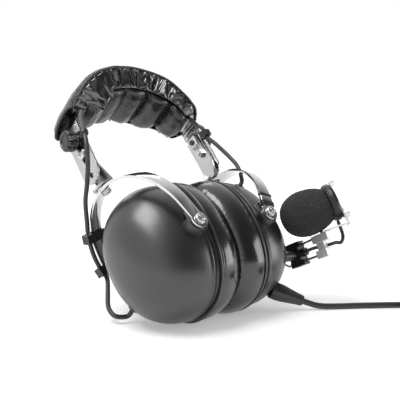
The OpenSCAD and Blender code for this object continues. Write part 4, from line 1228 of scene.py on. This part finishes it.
    def build(self) -> None:
        """Builds the cup and dresses its inner parts."""
        self.shell()
        self.seal()
        self.screws()
        posts = soften(f"{self.name}_retainers", f"{self.name}_retainer_pair", 0.3)
        settle(posts, "", LOOK.chrome, "chrome_small")
        ring = soften(f"{self.name}_grommet", f"{self.name}_cable_grommet", 0.5)
        settle(ring, "", LOOK.clip, "clip_black")
        for part, finish in (("baffle", LOOK.inner), ("speaker", LOOK.speaker), ("liner", LOOK.liner)):
            dress(frame["nodes"][f"{self.name}_{part}"], finish)


# ---------------------------------------------------------------- stirrups and adjusters

@dataclass
class Yoke:
    """Stirrup, arm, bolts, knob and slotted plate of one side."""

    side: str
    knob_r: float = 7.6
    knob_grips: int = 9
    pivot_x: float = 35.6
    lean: float = 18.7
    leg_len: float = 16.2
    arch_r: float = 47.6
    band_w: float = 10.0
    band_t: float = 2.0
    wrap_skin: float = 0.15

    def build(self) -> None:
        """Eases the edges of each metal piece and dresses it."""
        for node, piece, edge, finish, slot in (
                ("stirrup", "stirrup_band", 0.85, LOOK.chrome, "stirrup_chrome"),
                ("yoke_arm", "arm_strip", 0.25, LOOK.steel, "arm_steel"),
                ("slot_plate", "height_plate", 0.25, LOOK.steel, "arm_steel"),
                ("swivel_bolt", "swivel_bolt_set", 0.18, LOOK.zinc, "bolt_steel"),
                ("guide_bolt", "guide_bolt_set", 0.18, LOOK.zinc, "bolt_steel"),
                ("clamp_nut", "square_nut", 0.35, LOOK.zinc, "bolt_steel")):
            obj = soften(f"{self.side}_{node}", f"{self.side}_{piece}", edge, crowned=node == "stirrup")
            settle(obj, "", finish, slot)
        self.knob()
        if self.side == "left":
            self.wraps()

    def knob(self) -> None:
        """Small hand knob with soft, uneven flutes, its collar and its stud."""
        node = f"{self.side}_clamp_knob"
        low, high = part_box(node)
        out = 1 if self.side == "left" else -1
        start = low if out > 0 else high
        at = (start.x / MM, (low.y + high.y) / 2 / MM, (low.z + high.z) / 2 / MM)
        long = (high.x - low.x) / MM - 2.5
        r, seed = self.knob_r, 5 + out
        shape = [(0, 0), (2.2, 0), (2.2, long - 10.5), (5.2, long - 10.4), (5.3, long - 8.7),
                 (r - 0.7, long - 8.5)]
        shape += [(r + 0.25 * math.sin(q * 2.2), long - 8.1 + q * 0.5) for q in range(14)]
        shape += [(r - 0.5, long - 1.2), (r - 1.5, long - 0.5), (r - 3.2, long - 0.25), (r - 3.6, long - 0.9),
                  (1.5, long - 1.2), (0, long - 1.0)]
        heights = np.asarray(shape)

        def flutes(a: np.ndarray, i: np.ndarray) -> np.ndarray:
            """Worn flutes with creases between them.

            Args:
                a: angle round the axis.
                i: row of the profile.

            Returns:
                What the radius gains.
            """
            grip = ramp(heights[i, 0], r - 2.2, r - 0.6)
            turn = a + 0.05 * np.sin(heights[i, 1] * 0.9)
            seam = 1 - np.exp(-((a - math.pi) / 3.0) ** 16)
            worn = 0.45 * wander2(a * 3.2, heights[i, 1] * 0.5 + 8, seed) * seam
            flute = np.maximum(0, np.cos(turn * self.knob_grips)) ** 3
            return grip * (-1.1 * flute + 0.25 * np.sin(turn * 27 + heights[i, 1]) + worn)

        place = Matrix.Scale(MM, 4) @ lead_to(at, (out, 0, 0))
        obj = lathe(f"{self.side}_hand_knob", shape, place, 216, 40, flutes)
        settle(obj, f"{self.side}_knob", LOOK.knob, "knob_black", node)

    def wraps(self) -> None:
        """Two black wraps with a bright one between them on the front leg of the stirrup."""
        turn = Matrix.Rotation(math.radians(self.lean), 4, "Y")
        base = REST.matrix() @ Matrix.Translation((self.pivot_x, 0, 0)) @ turn
        made = {"black": [], "bright": []}
        mid = self.arch_r + self.band_t / 2
        for kind, z, tall, grow in (("black", 15.4, 2.6, 0.9), ("bright", 11.6, 5.2, 0.5),
                                    ("black", 7.4, 4.2, 1.0)):
            a = math.asin(max(0.0, z - self.leg_len) / mid)
            flat = min(z, self.leg_len)
            out = mid + (grow - self.wrap_skin) / 2
            at = (0, -out * math.cos(a), flat + out * math.sin(a))
            deselect()
            bpy.ops.mesh.primitive_cube_add(size=1.0)
            obj = bpy.context.object
            size = (self.band_w + 1.2 * grow, self.band_t + grow + self.wrap_skin, tall, 1)
            obj.data.transform(Matrix.Diagonal(size))
            finish_modifier(obj, "BEVEL", width=0.5, segments=3)
            obj.data.transform(base @ Matrix.Translation(at) @ Matrix.Rotation(-a, 4, "X"))
            made[kind].append(tidy(obj, 35))
        settle(join("left_leg_wraps", made["black"]), "left_stirrup", LOOK.clip, "clip_black")
        settle(join("left_leg_sleeve", made["bright"]), "left_stirrup", LOOK.chrome, "stirrup_chrome")


# ---------------------------------------------------------------- head pad

@dataclass
class HeadPad:
    """Spring, leather cover with its gathered gusset and piping, and channelled cushions."""

    arc_z: float = 92.2
    cover_r: float = 75.5
    spring_r: float = 67.45
    near_end: float = -69.0
    far_end: float = 62.5
    cushion_r: float = 49.6
    cushion_from: float = -54.0
    cushion_to: float = 61.0
    cushion_top: float = 65.35
    squareness: float = 2.9
    pitch: float = 22.0
    shift: float = -3.5
    fold_pitch: float = 8.4
    fold_depth: float = 3.3
    half_width: float = 26.0
    piping_r: float = 1.1
    piping_drop: float = 4.6
    bend_reach: float = 56.0

    def width(self, a: np.ndarray) -> np.ndarray:
        """Half width of the cover, which is rounded at its left end.

        Args:
            a: angle from the top, degrees.

        Returns:
            The half width.
        """
        plain = self.half_width - 9.5 * ramp(np.abs(a), 24, 72)
        corner = np.sqrt(1 - 0.72 * np.clip((a - self.far_end + 7) / 7, 0, 1) ** 2)
        return plain * corner * (1 - 0.25 * ramp(-a, 58, -self.near_end))

    def slant(self, a: np.ndarray, y: np.ndarray) -> np.ndarray:
        """Angle of a point once the right end is cut back at its front."""
        share = np.clip(0.5 - 0.5 * y / np.maximum(self.width(a), 1), 0, 1)
        return a + 9.0 * ramp(-a, 42, 69) * share

    def sides(self, a: np.ndarray) -> tuple[np.ndarray, np.ndarray]:
        """Front and back reach of the cushions.

        Args:
            a: angle from the top, degrees.

        Returns:
            The reach to the front and the reach to the back.
        """
        edge = np.abs(a)
        back = 22.4 - 9.5 * ramp(edge, 18, 58)
        return 17.4 - 3.4 * ramp(edge, 44, 61), np.minimum(back, self.width(a) - 2.4)

    def arc(self, a: np.ndarray, r: np.ndarray, y: np.ndarray) -> np.ndarray:
        """Points of the headband's arc."""
        t = np.radians(a)
        return np.stack([r * np.sin(t), y + 0 * t, self.arc_z + r * np.cos(t)], 1)

    def crown(self, a: np.ndarray) -> np.ndarray:
        """0 in a sewn channel, 1 on the crown of a cushion."""
        return np.abs(np.sin(np.pi * (a - self.shift) / self.pitch)) ** 0.5

    def fold(self, a: np.ndarray, q: np.ndarray, seed: int) -> np.ndarray:
        """Height of the gusset's folds, from 0 in a valley to 1 on a ridge.

        Args:
            a: angle along the pad, degrees.
            q: way down the gusset, 0 at the piping and 1 at the cushions.
            seed: which set of folds.

        Returns:
            The height at each point.
        """
        rng = np.random.default_rng(seed)
        count = np.arange(-10, 11)
        top = (count + rng.uniform(-0.22, 0.22, count.size)) * self.fold_pitch
        lean = rng.uniform(-0.35, 0.35, count.size)
        foot = (count + np.where(count % 2 == 0, 0.36, -0.36) + lean) * self.fold_pitch
        foot = np.maximum.accumulate(foot + np.arange(count.size) * 1e-3)
        phase = (1 - q) * np.interp(a, top, count) + q * np.interp(a, foot, count)
        cell = np.floor(phase)
        t = phase - cell
        peak = 0.5 + 0.22 * wander(cell * 1.37 + 200, seed + 3)
        ridge = np.where(t < peak, t / peak, (1 - t) / (1 - peak))
        lift = 0.75 + 0.25 * wander(cell * 2.71 + 90, seed + 4)
        cross = q * 2.3 + 1.7 * wander(a / 5 + 40, seed + 5) + 0.5 * t
        crease = 1 - np.abs(2 * (cross - np.floor(cross)) - 1)
        return lift * ridge**0.8 + 0.2 * crease * ridge

    def along(self, h: np.ndarray, at: Sequence[float], values: Sequence[object]) -> np.ndarray:
        """Runs through values that may change from point to point.

        Args:
            h: where on the run each point lies.
            at: the run's stations.
            values: a number or an array for each station.

        Returns:
            The value at each point.
        """
        out = np.zeros_like(h) + values[0]
        for p, q, a, b in zip(at, at[1:], values, values[1:]):
            out = out + np.clip((h - p) / (q - p), 0, 1) * (b - a)
        return out

    def flex(self, obj: bpy.types.Object) -> bpy.types.Object:
        """Lets a piece bend with the spring, evenly to both sides of its crown.

        Args:
            obj: the piece.

        Returns:
            The piece.
        """
        ends = self.arc(np.array([self.bend_reach, -self.bend_reach]), self.spring_r, 0.0)
        start, end = (REST.matrix() @ Vector(p) for p in ends)
        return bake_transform(obj, "headband", "headband_right_end", start=start, end=end)

    def cover(self) -> bpy.types.Object:
        """Leather top and gathered sides as one closed skin, with a pocket at each end.

        Returns:
            The cover, with the leather and the gusset as its two materials.
        """
        lo, hi = self.near_end, self.far_end
        pocket = [(5.0, 0.0), (5.0, 0.72), (2.0, 0.84), (0.3, 0.9), (-0.2, 0.95), (0.0, 1.0)]
        between = [(a, 1.0) for a in np.linspace(lo + 0.45, hi - 0.45, 430)]
        rows = np.asarray([(lo + d, k) for d, k in pocket] + between + [(hi - d, k) for d, k in pocket[::-1]])
        stations = [0, 0.2, 0.32, 0.37, 0.40, 0.43, 0.46, 0.80, 0.82, 0.84, 0.92, 1.0]

        def surface(u: np.ndarray, v: np.ndarray) -> np.ndarray:
            """Points of the cover.

            Args:
                u: way round its section, from the middle of the top.
                v: way along the pad.

            Returns:
                The points.
            """
            a, k = rows[row_of(v, rows)].T
            side = np.sign(0.5 - u)
            h = np.minimum(u, 1 - u) * 2
            w, top = self.width(a), self.cover_r
            front, back = self.sides(a)
            open_end = np.maximum(ramp(-a, 55, 60), ramp(a, 56, 61))
            core = np.where(side < 0, front, back) + 0.7
            core = np.minimum(core * (1 - open_end) + (w - 2) * open_end, w - 1.6)
            hem = np.where(side < 0, 55.8 - 6.6 * ramp(-a, 24, 32), 58.5)
            hem = hem + (61.5 - hem) * open_end
            r = self.along(h, stations, [top, top - 0.3, top - 1.2, top - 2.2, top - 3.6, top - 4.8,
                                         top - 5.4, hem, hem - 0.1, hem + 0.9, self.spring_r, self.spring_r])
            y = self.along(h, stations, [0, 0.55 * w, 0.88 * w, 0.97 * w, w, w, w - 0.5,
                                         core + 1.1, core + 0.5, core, core, 0])
            q = np.clip((h - 0.46) / 0.34, 0, 1)
            folds = np.where(side < 0, self.fold(a, q, 40), self.fold(a, q, 70))
            held = np.minimum(1, q / 0.07) * np.minimum(1, (1 - q) / 0.07) * (h < 0.8)
            env = held * ramp(a, lo, lo + 6) * ramp(a, hi, hi - 5)
            y = y + ((self.fold_depth + 1.6 * ramp(-a, 20, 40)) * folds - 0.9) * env
            r = r - 1.2 * (folds - 0.5) * env
            y = y * side
            r = r + 0.35 * wander2(a / 9 + 20, y / 9 + 20, 8) * (h < 0.3)
            mid = 0.5 * (self.cover_r + 61)
            return self.arc(self.slant(a, y), mid + (r - mid) * k, y * k)

        obj = loft("pad_cover_skin", surface, 168, len(rows) - 1, REST.matrix(), 55)
        dress(obj, LOOK.cover, LOOK.gusset)
        uv = obj.data.uv_layers.active.data
        for face in obj.data.polygons:
            u = sum(uv[k].uv[0] for k in face.loop_indices) / face.loop_total
            face.material_index = int(0.455 < min(u, 1 - u) * 2 < 0.86)
        return obj

    def rail(self, s: int, drop: float, inset: float) -> np.ndarray:
        """Line along one edge of the cover.

        Args:
            s: -1 for the front edge, 1 for the back edge.
            drop: how far it lies under the top.
            inset: how far it lies in from the edge.

        Returns:
            The points of the line.
        """
        a = np.linspace(self.near_end + 0.2, self.far_end - 0.2, 220)
        y = s * (self.width(a) - inset) + 0.25 * s * wander(a / 7 + 50, 21 + s)
        r = self.cover_r - drop + 0.2 * wander(a / 6 + 80, 31 + s)
        return self.arc(self.slant(a, y), r, y)

    def piping(self) -> list[bpy.types.Object]:
        """Piping cord along both edges and round each end.

        Returns:
            The four cords.
        """
        lines = {"front": self.rail(-1, self.piping_drop, -0.35),
                 "back": self.rail(1, self.piping_drop, -0.35)}
        t = np.linspace(0, 1, 60)
        for stop, end in ((self.near_end, "right"), (self.far_end, "left")):
            a = np.full(60, stop)
            y = self.width(a) * np.cos(math.pi * (1 - t))
            r = self.cover_r - self.piping_drop + 4.4 * np.sin(math.pi * t) ** 0.6
            lines[end] = self.arc(self.slant(a, y), r, y)
        return [as_mesh(path_curve(f"pad_piping_{end}", line, self.piping_r, REST.matrix(), 4))
                for end, line in lines.items()]

    def stitches(self) -> bpy.types.Object:
        """Row of stitches beside each piping cord.

        Returns:
            All the stitches as one piece.
        """
        made = []
        for s in (-1, 1):
            line = self.rail(s, 1.5, 2.4)
            for i in range(2, len(line) - 3, 3):
                a, b = Vector(line[i]), Vector(line[i + 2])
                deselect()
                bpy.ops.mesh.primitive_ico_sphere_add(subdivisions=1, radius=1.0)
                one = bpy.context.object
                size = Matrix.Diagonal((0.4, 0.4, (b - a).length * 0.46, 1))
                one.data.transform(REST.matrix() @ lead_to((a + b) / 2, b - a) @ size)
                made.append(one)
        return tidy(join("pad_stitches", made), 180)

    def cushions(self) -> bpy.types.Object:
        """Foam cushions with sewn cross channels and small creases that run into them.

        Returns:
            The row of cushions.
        """
        lo, hi = self.cushion_from, self.cushion_to
        a_rows = np.concatenate([[lo], np.linspace(lo, hi, 460), [hi]])

        def surface(u: np.ndarray, v: np.ndarray) -> np.ndarray:
            """Points of the cushions.

            Args:
                u: way round their section.
                v: way along the pad.

            Returns:
                The points.
            """
            a = a_rows[row_of(v, a_rows)]
            nearest = np.minimum(a - lo, hi - a)
            k = np.sqrt(np.clip(1 - np.clip((6 - nearest) / 6, 0, 1) ** 2, 0, 1))
            pod = self.crown(a)
            front, back = self.sides(a)
            w, off = (front + back) / 2 - 2.2 * (1 - pod), (back - front) / 2
            low = self.cushion_r + 7.2 * (1 - pod)
            high = self.cushion_top - 0.3 * np.maximum(0, np.abs(a) - 50)
            t = 2 * math.pi * u
            mid, tall = (low + high) / 2, (high - low) / 2
            across, down = oval(t, w, tall, self.squareness)
            y, r = off + across, mid - down
            skin = ramp(np.sin(t), 0.0, 0.5)
            crease = np.abs(wander(y / 1.6 + 60, 91)) * np.exp(-(((1 - pod) - 0.55) / 0.28) ** 2)
            r = r + (1.0 * crease + 0.35 * wander2(a / 4 + 30, y / 5 + 30, 17)) * skin
            return self.arc(a, mid + (r - mid) * k, y * k)

        obj = self.flex(loft("pad_cushion_row", surface, 112, len(a_rows) - 1, REST.matrix()))
        settle(obj, "", LOOK.cushion, "cushion_leather", "pad_cushions")
        return obj

    def build(self) -> None:
        """Builds the pad and dresses the spring."""
        cover = self.flex(self.cover())
        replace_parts(cover, "pad_cover")
        for obj in self.piping():
            settle(self.flex(obj), "", LOOK.piping, "cover_leather")
        settle(self.flex(self.stitches()), "", LOOK.thread, "cover_leather")
        self.cushions()
        strip = soften("headband_spring", "spring_strip_band", 0.2, bends=True)
        settle(self.flex(finish_modifier(strip, "TRIANGULATE")), "", LOOK.spring, "spring_steel")


# ---------------------------------------------------------------- held cables

@dataclass(frozen=True)
class Strand:
    """One stretch of cable that bends between two bodies, in upright millimetres.

    It starts to bend at one point and ends at another, and is cut at its top or bottom height where
    another stretch of the same solid goes on.
    """

    name: str
    node: str
    bodies: tuple[str, str]
    start: tuple[float, float, float]
    end: tuple[float, float, float]
    top: float | None = None
    bottom: float | None = None
    stands_for: bool = True

    def build(self) -> bpy.types.Object:
        """Cuts the stretch from the cable and blends it.

        Returns:
            The dressed stretch.
        """
        obj = smooth_tube(self.node, self.name)
        place = REST.matrix()
        up = (place.to_3x3() @ Vector((0, 0, 1))).normalized()
        for height, keep in ((self.top, "below"), (self.bottom, "above")):
            if height is not None:
                with editing(obj):
                    bpy.ops.mesh.bisect(plane_co=place @ Vector((0, 0, height)), plane_no=up, use_fill=True,
                                        clear_outer=keep == "below", clear_inner=keep == "above")
        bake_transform(obj, *self.bodies, start=place @ Vector(self.start), end=place @ Vector(self.end))
        return settle(obj, "", LOOK.cable, "cable_rubber", *([self.node] if self.stands_for else []))


@dataclass
class Cables:
    """The cable from cup to cup, stretch by stretch, with its sleeve and clips."""

    radius: float = 1.9
    sleeve_wall: float = 0.55
    sleeve: tuple[Point, ...] = (
        (-54.6, -11.3, 125.2), (-55.5, -11.3, 123.7), (-59.2, -11.4, 116), (-62.4, -13.8, 106),
        (-63.3, -14.1, 103))
    strands: tuple[Strand, ...] = (
        Strand("left_cable_run_top", "left_cable", ("headband", "left_arm"), (62, -14, 99), (64.5, -17, 86),
               bottom=84.0),
        Strand("left_cable_run_middle", "left_cable", ("left_arm", "left_stirrup"), (65, -17.5, 83),
               (66.3, -20.5, 68), 84.0, 66.0, False),
        Strand("left_cable_run_end", "left_cable", ("left_stirrup", "left_cup"), (66.3, -21, 65),
               (60, -22, 45), top=66.0, stands_for=False),
        Strand("right_cable_run_top", "right_cable_upper", ("headband_right_end", "right_arm"),
               (-64, -14.3, 99), (-67, -11.5, 84), bottom=81.0),
        Strand("right_cable_run_middle", "right_cable_upper", ("right_arm", "right_stirrup"), (-67.5, -8, 77),
               (-63.4, 17, 63), top=81.0, stands_for=False),
        Strand("right_cable_run_end", "right_cable_lower", ("right_stirrup", "right_cup"), (-54.5, 48.5, 6),
               (-60.5, 43, -16)))

    def build(self) -> None:
        """Builds each stretch, the sleeve by the pad and the clips."""
        for strand in self.strands:
            strand.build()
        bore = self.radius + self.sleeve_wall
        sleeve = as_mesh(path_curve("right_cable_sleeve", flowing(self.sleeve, 8), bore, REST.matrix(), 6))
        settle(sleeve, "headband_right_end", LOOK.sleeve, "cable_rubber")
        end, before = Vector(self.sleeve[-1]), Vector(self.sleeve[-2])
        shape = rounded([(0, -1.6), (3.0, -1.6), (3.3, 0), (3.2, 2.2), (2.3, 2.9), (0, 2.9)], 0.5)
        ring = lathe("right_cable_ring", shape, REST.matrix() @ lead_to(end, end - before), 40)
        settle(ring, "headband_right_end", LOOK.clip, "clip_black")
        settle(soften("left_cable_clip", "left_arm_clip", 0.5), "", LOOK.clip, "clip_black")
        settle(soften("right_stirrup_clips", "right_stirrup_clip_pair", 0.5), "", LOOK.clip, "clip_black")


# ---------------------------------------------------------------- boom and microphone

@dataclass
class Boom:
    """Post, block, wires, clamp, bracket and microphone."""

    at: tuple[float, float, float] = (80.5, -18.5, -24.5)
    droop: float = 14.5
    mic_at: tuple[float, float, float] = (-4.4, -24.0, 26.9)
    turns: tuple[float, float, float] = (42.0, -5.0, 16.0)
    foam_len: float = 38.0
    foam_back: float = 20.0
    foam_r: float = 17.8
    foam_nose: float = 19.4
    wire_r: float = 1.1
    wire_gap: float = 6.7

    @property
    def place(self) -> Matrix:
        """The boom's own millimetres to the row frame."""
        return REST.matrix() @ Matrix.Translation(self.at) @ Matrix.Rotation(math.radians(self.droop), 4, "X")

    @property
    def mic_place(self) -> Matrix:
        """The microphone's millimetres to the row frame.

        Returns:
            The matrix; its Z runs from the tip of the foam to its back.
        """
        yaw, pitch, roll = (math.radians(v) for v in self.turns)
        turn = Matrix.Rotation(yaw, 4, "Z") @ Matrix.Rotation(pitch, 4, "X") @ Matrix.Rotation(roll, 4, "Y")
        back = Matrix.Rotation(math.pi / 2, 4, "X") @ Matrix.Translation((0, 0, -self.foam_back))
        return self.place @ Matrix.Translation(self.mic_at) @ turn @ back

    def windscreen(self) -> None:
        """Egg of open foam with a soft, uneven skin."""
        t = np.concatenate([np.linspace(0, 90, 40), np.linspace(92, 135, 24)])
        r = np.where(t <= 90, np.sin(np.radians(np.minimum(t, 90))) ** 0.86 * self.foam_r,
                     self.foam_r * np.sqrt(1 - 0.5 * (np.clip(t - 90, 0, 45) / 45) ** 2))
        front = self.foam_nose * (1 - np.cos(np.radians(np.minimum(t, 90))))
        z = front + np.clip(t - 90, 0, 45) / 45 * (self.foam_len - self.foam_nose)
        pocket = [(12.2, self.foam_len + 0.3), (11.4, self.foam_len), (11.35, 20), (0, 20)]
        rows = np.vstack([np.stack([r, z], 1), pocket])

        def skin(a: np.ndarray, i: np.ndarray) -> np.ndarray:
            """Small lumps of the foam.

            Args:
                a: angle round the axis.
                i: row of the profile.

            Returns:
                What the radius gains.
            """
            h = rows[i, 1] * 1.3
            lumps = 0.22 * wander2((a * 16) % 64, h + 7, 3) + 0.12 * wander2((a * 40) % 64, h * 2.4 + 3, 4)
            return lumps * ramp(rows[i, 0], 0.5, 6) * (i < len(t))

        obj = lathe("windscreen_egg", rows, self.mic_place, 128, 180, skin)
        settle(obj, "mic", LOOK.foam, "windscreen_foam", "mic_windscreen")

    def collar(self) -> None:
        """Ribbed collar behind the foam."""
        z0 = self.foam_len + 0.3
        shape = rounded([(9.5, z0 - 0.8), (12.4, z0 - 0.8), (14.2, z0 + 0.4), (14.8, z0 + 1.8),
                         (14.6, z0 + 4.6), (13.2, z0 + 6.6), (9.5, z0 + 6.6)], 0.6)

        def ribs(a: np.ndarray, i: np.ndarray) -> np.ndarray:
            """Grip ribs on the widest band."""
            wide = np.asarray(shape)[i, 0] > 13.7
            return np.where(wide & (np.sin(a * 44) > 0.1), -0.5, 0.0)

        obj = lathe("mic_collar_ring", shape, self.mic_place, 352, 25, ribs)
        settle(obj, "mic", LOOK.block, "block_black")

    def wires(self) -> None:
        """Bent chrome wire: two runs and the turn behind the block."""
        y = [-28.6, -20, -10, 0, 9]
        a = np.linspace(0, math.pi, 40)[1:-1]
        gap = self.wire_gap
        turn = np.stack([0 * a, y[-1] + gap * np.sin(a), -gap * np.cos(a)], 1)
        line = np.vstack([[(0, q, -gap) for q in y], turn, [(0, q, gap) for q in y[::-1]]])
        obj = as_mesh(path_curve("boom_wire_bend", line, self.wire_r, self.place, 5))
        settle(obj, "boom_wire", LOOK.chrome, "wire_chrome", "boom_wire")

    def build(self) -> None:
        """Builds the boom and the microphone."""
        self.windscreen()
        self.collar()
        self.wires()
        for node, piece, edge, finish, slot in (
                ("boom_post", "boom_post_stem", 0.3, LOOK.knob, "knob_black"),
                ("boom_block", "boom_block_body", 0.45, LOOK.block, "block_black"),
                ("boom_clamp", "boom_wire_clamp", 0.4, LOOK.cast, "bracket_metal"),
                ("mic_bracket", "mic_bracket_plate", 0.25, LOOK.chrome, "bracket_metal"),
                ("mic_body", "mic_core", 0.3, LOOK.block, "block_black")):
            settle(soften(node, piece, edge), "", finish, slot)
        for node, piece, bodies, start, end in (
                ("boom_cable", "boom_cable_run", ("boom_block", "boom_wire"), (0, -10.0, 0),
                 (5.6, -23, -0.5)),
                ("mic_cable", "mic_cable_loop", ("boom_wire", "mic"), (9, -35.6, -2), (14.4, -36.8, 8.5))):
            run = smooth_tube(node, piece)
            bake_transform(run, *bodies, start=self.place @ Vector(start), end=self.place @ Vector(end))
            settle(run, "", LOOK.cable, "cable_rubber", node)
        self.relief()

    def relief(self) -> None:
        """Tapered strain relief of the main cord."""
        at, to = Vector((51, -7, -47)), Vector((66, -11, -59.5))
        length = (to - at).length
        shape = rounded([(0, -7), (6.6, -7), (6.9, -2), (6.5, 3), (5.6, 8.5), (4.7, 14), (4.1, length - 0.4),
                         (3.4, length), (0, length)], 1.0)
        obj = lathe("cord_relief", shape, REST.matrix() @ lead_to(at, to - at), 48)
        settle(obj, "left_cup", LOOK.relief, "relief_rubber", "strain_relief")


def main() -> None:
    """Builds the studio and every piece."""
    logging.basicConfig(level=logging.INFO, format="%(name)s: %(message)s")
    Studio().build()
    CordSet().build()
    for side in (1, -1):
        EarCup(side).build()
    for side in ("left", "right"):
        Yoke(side).build()
    HeadPad().build()
    Cables().build()
    Boom().build()


if __name__ == "__main__":
    main()
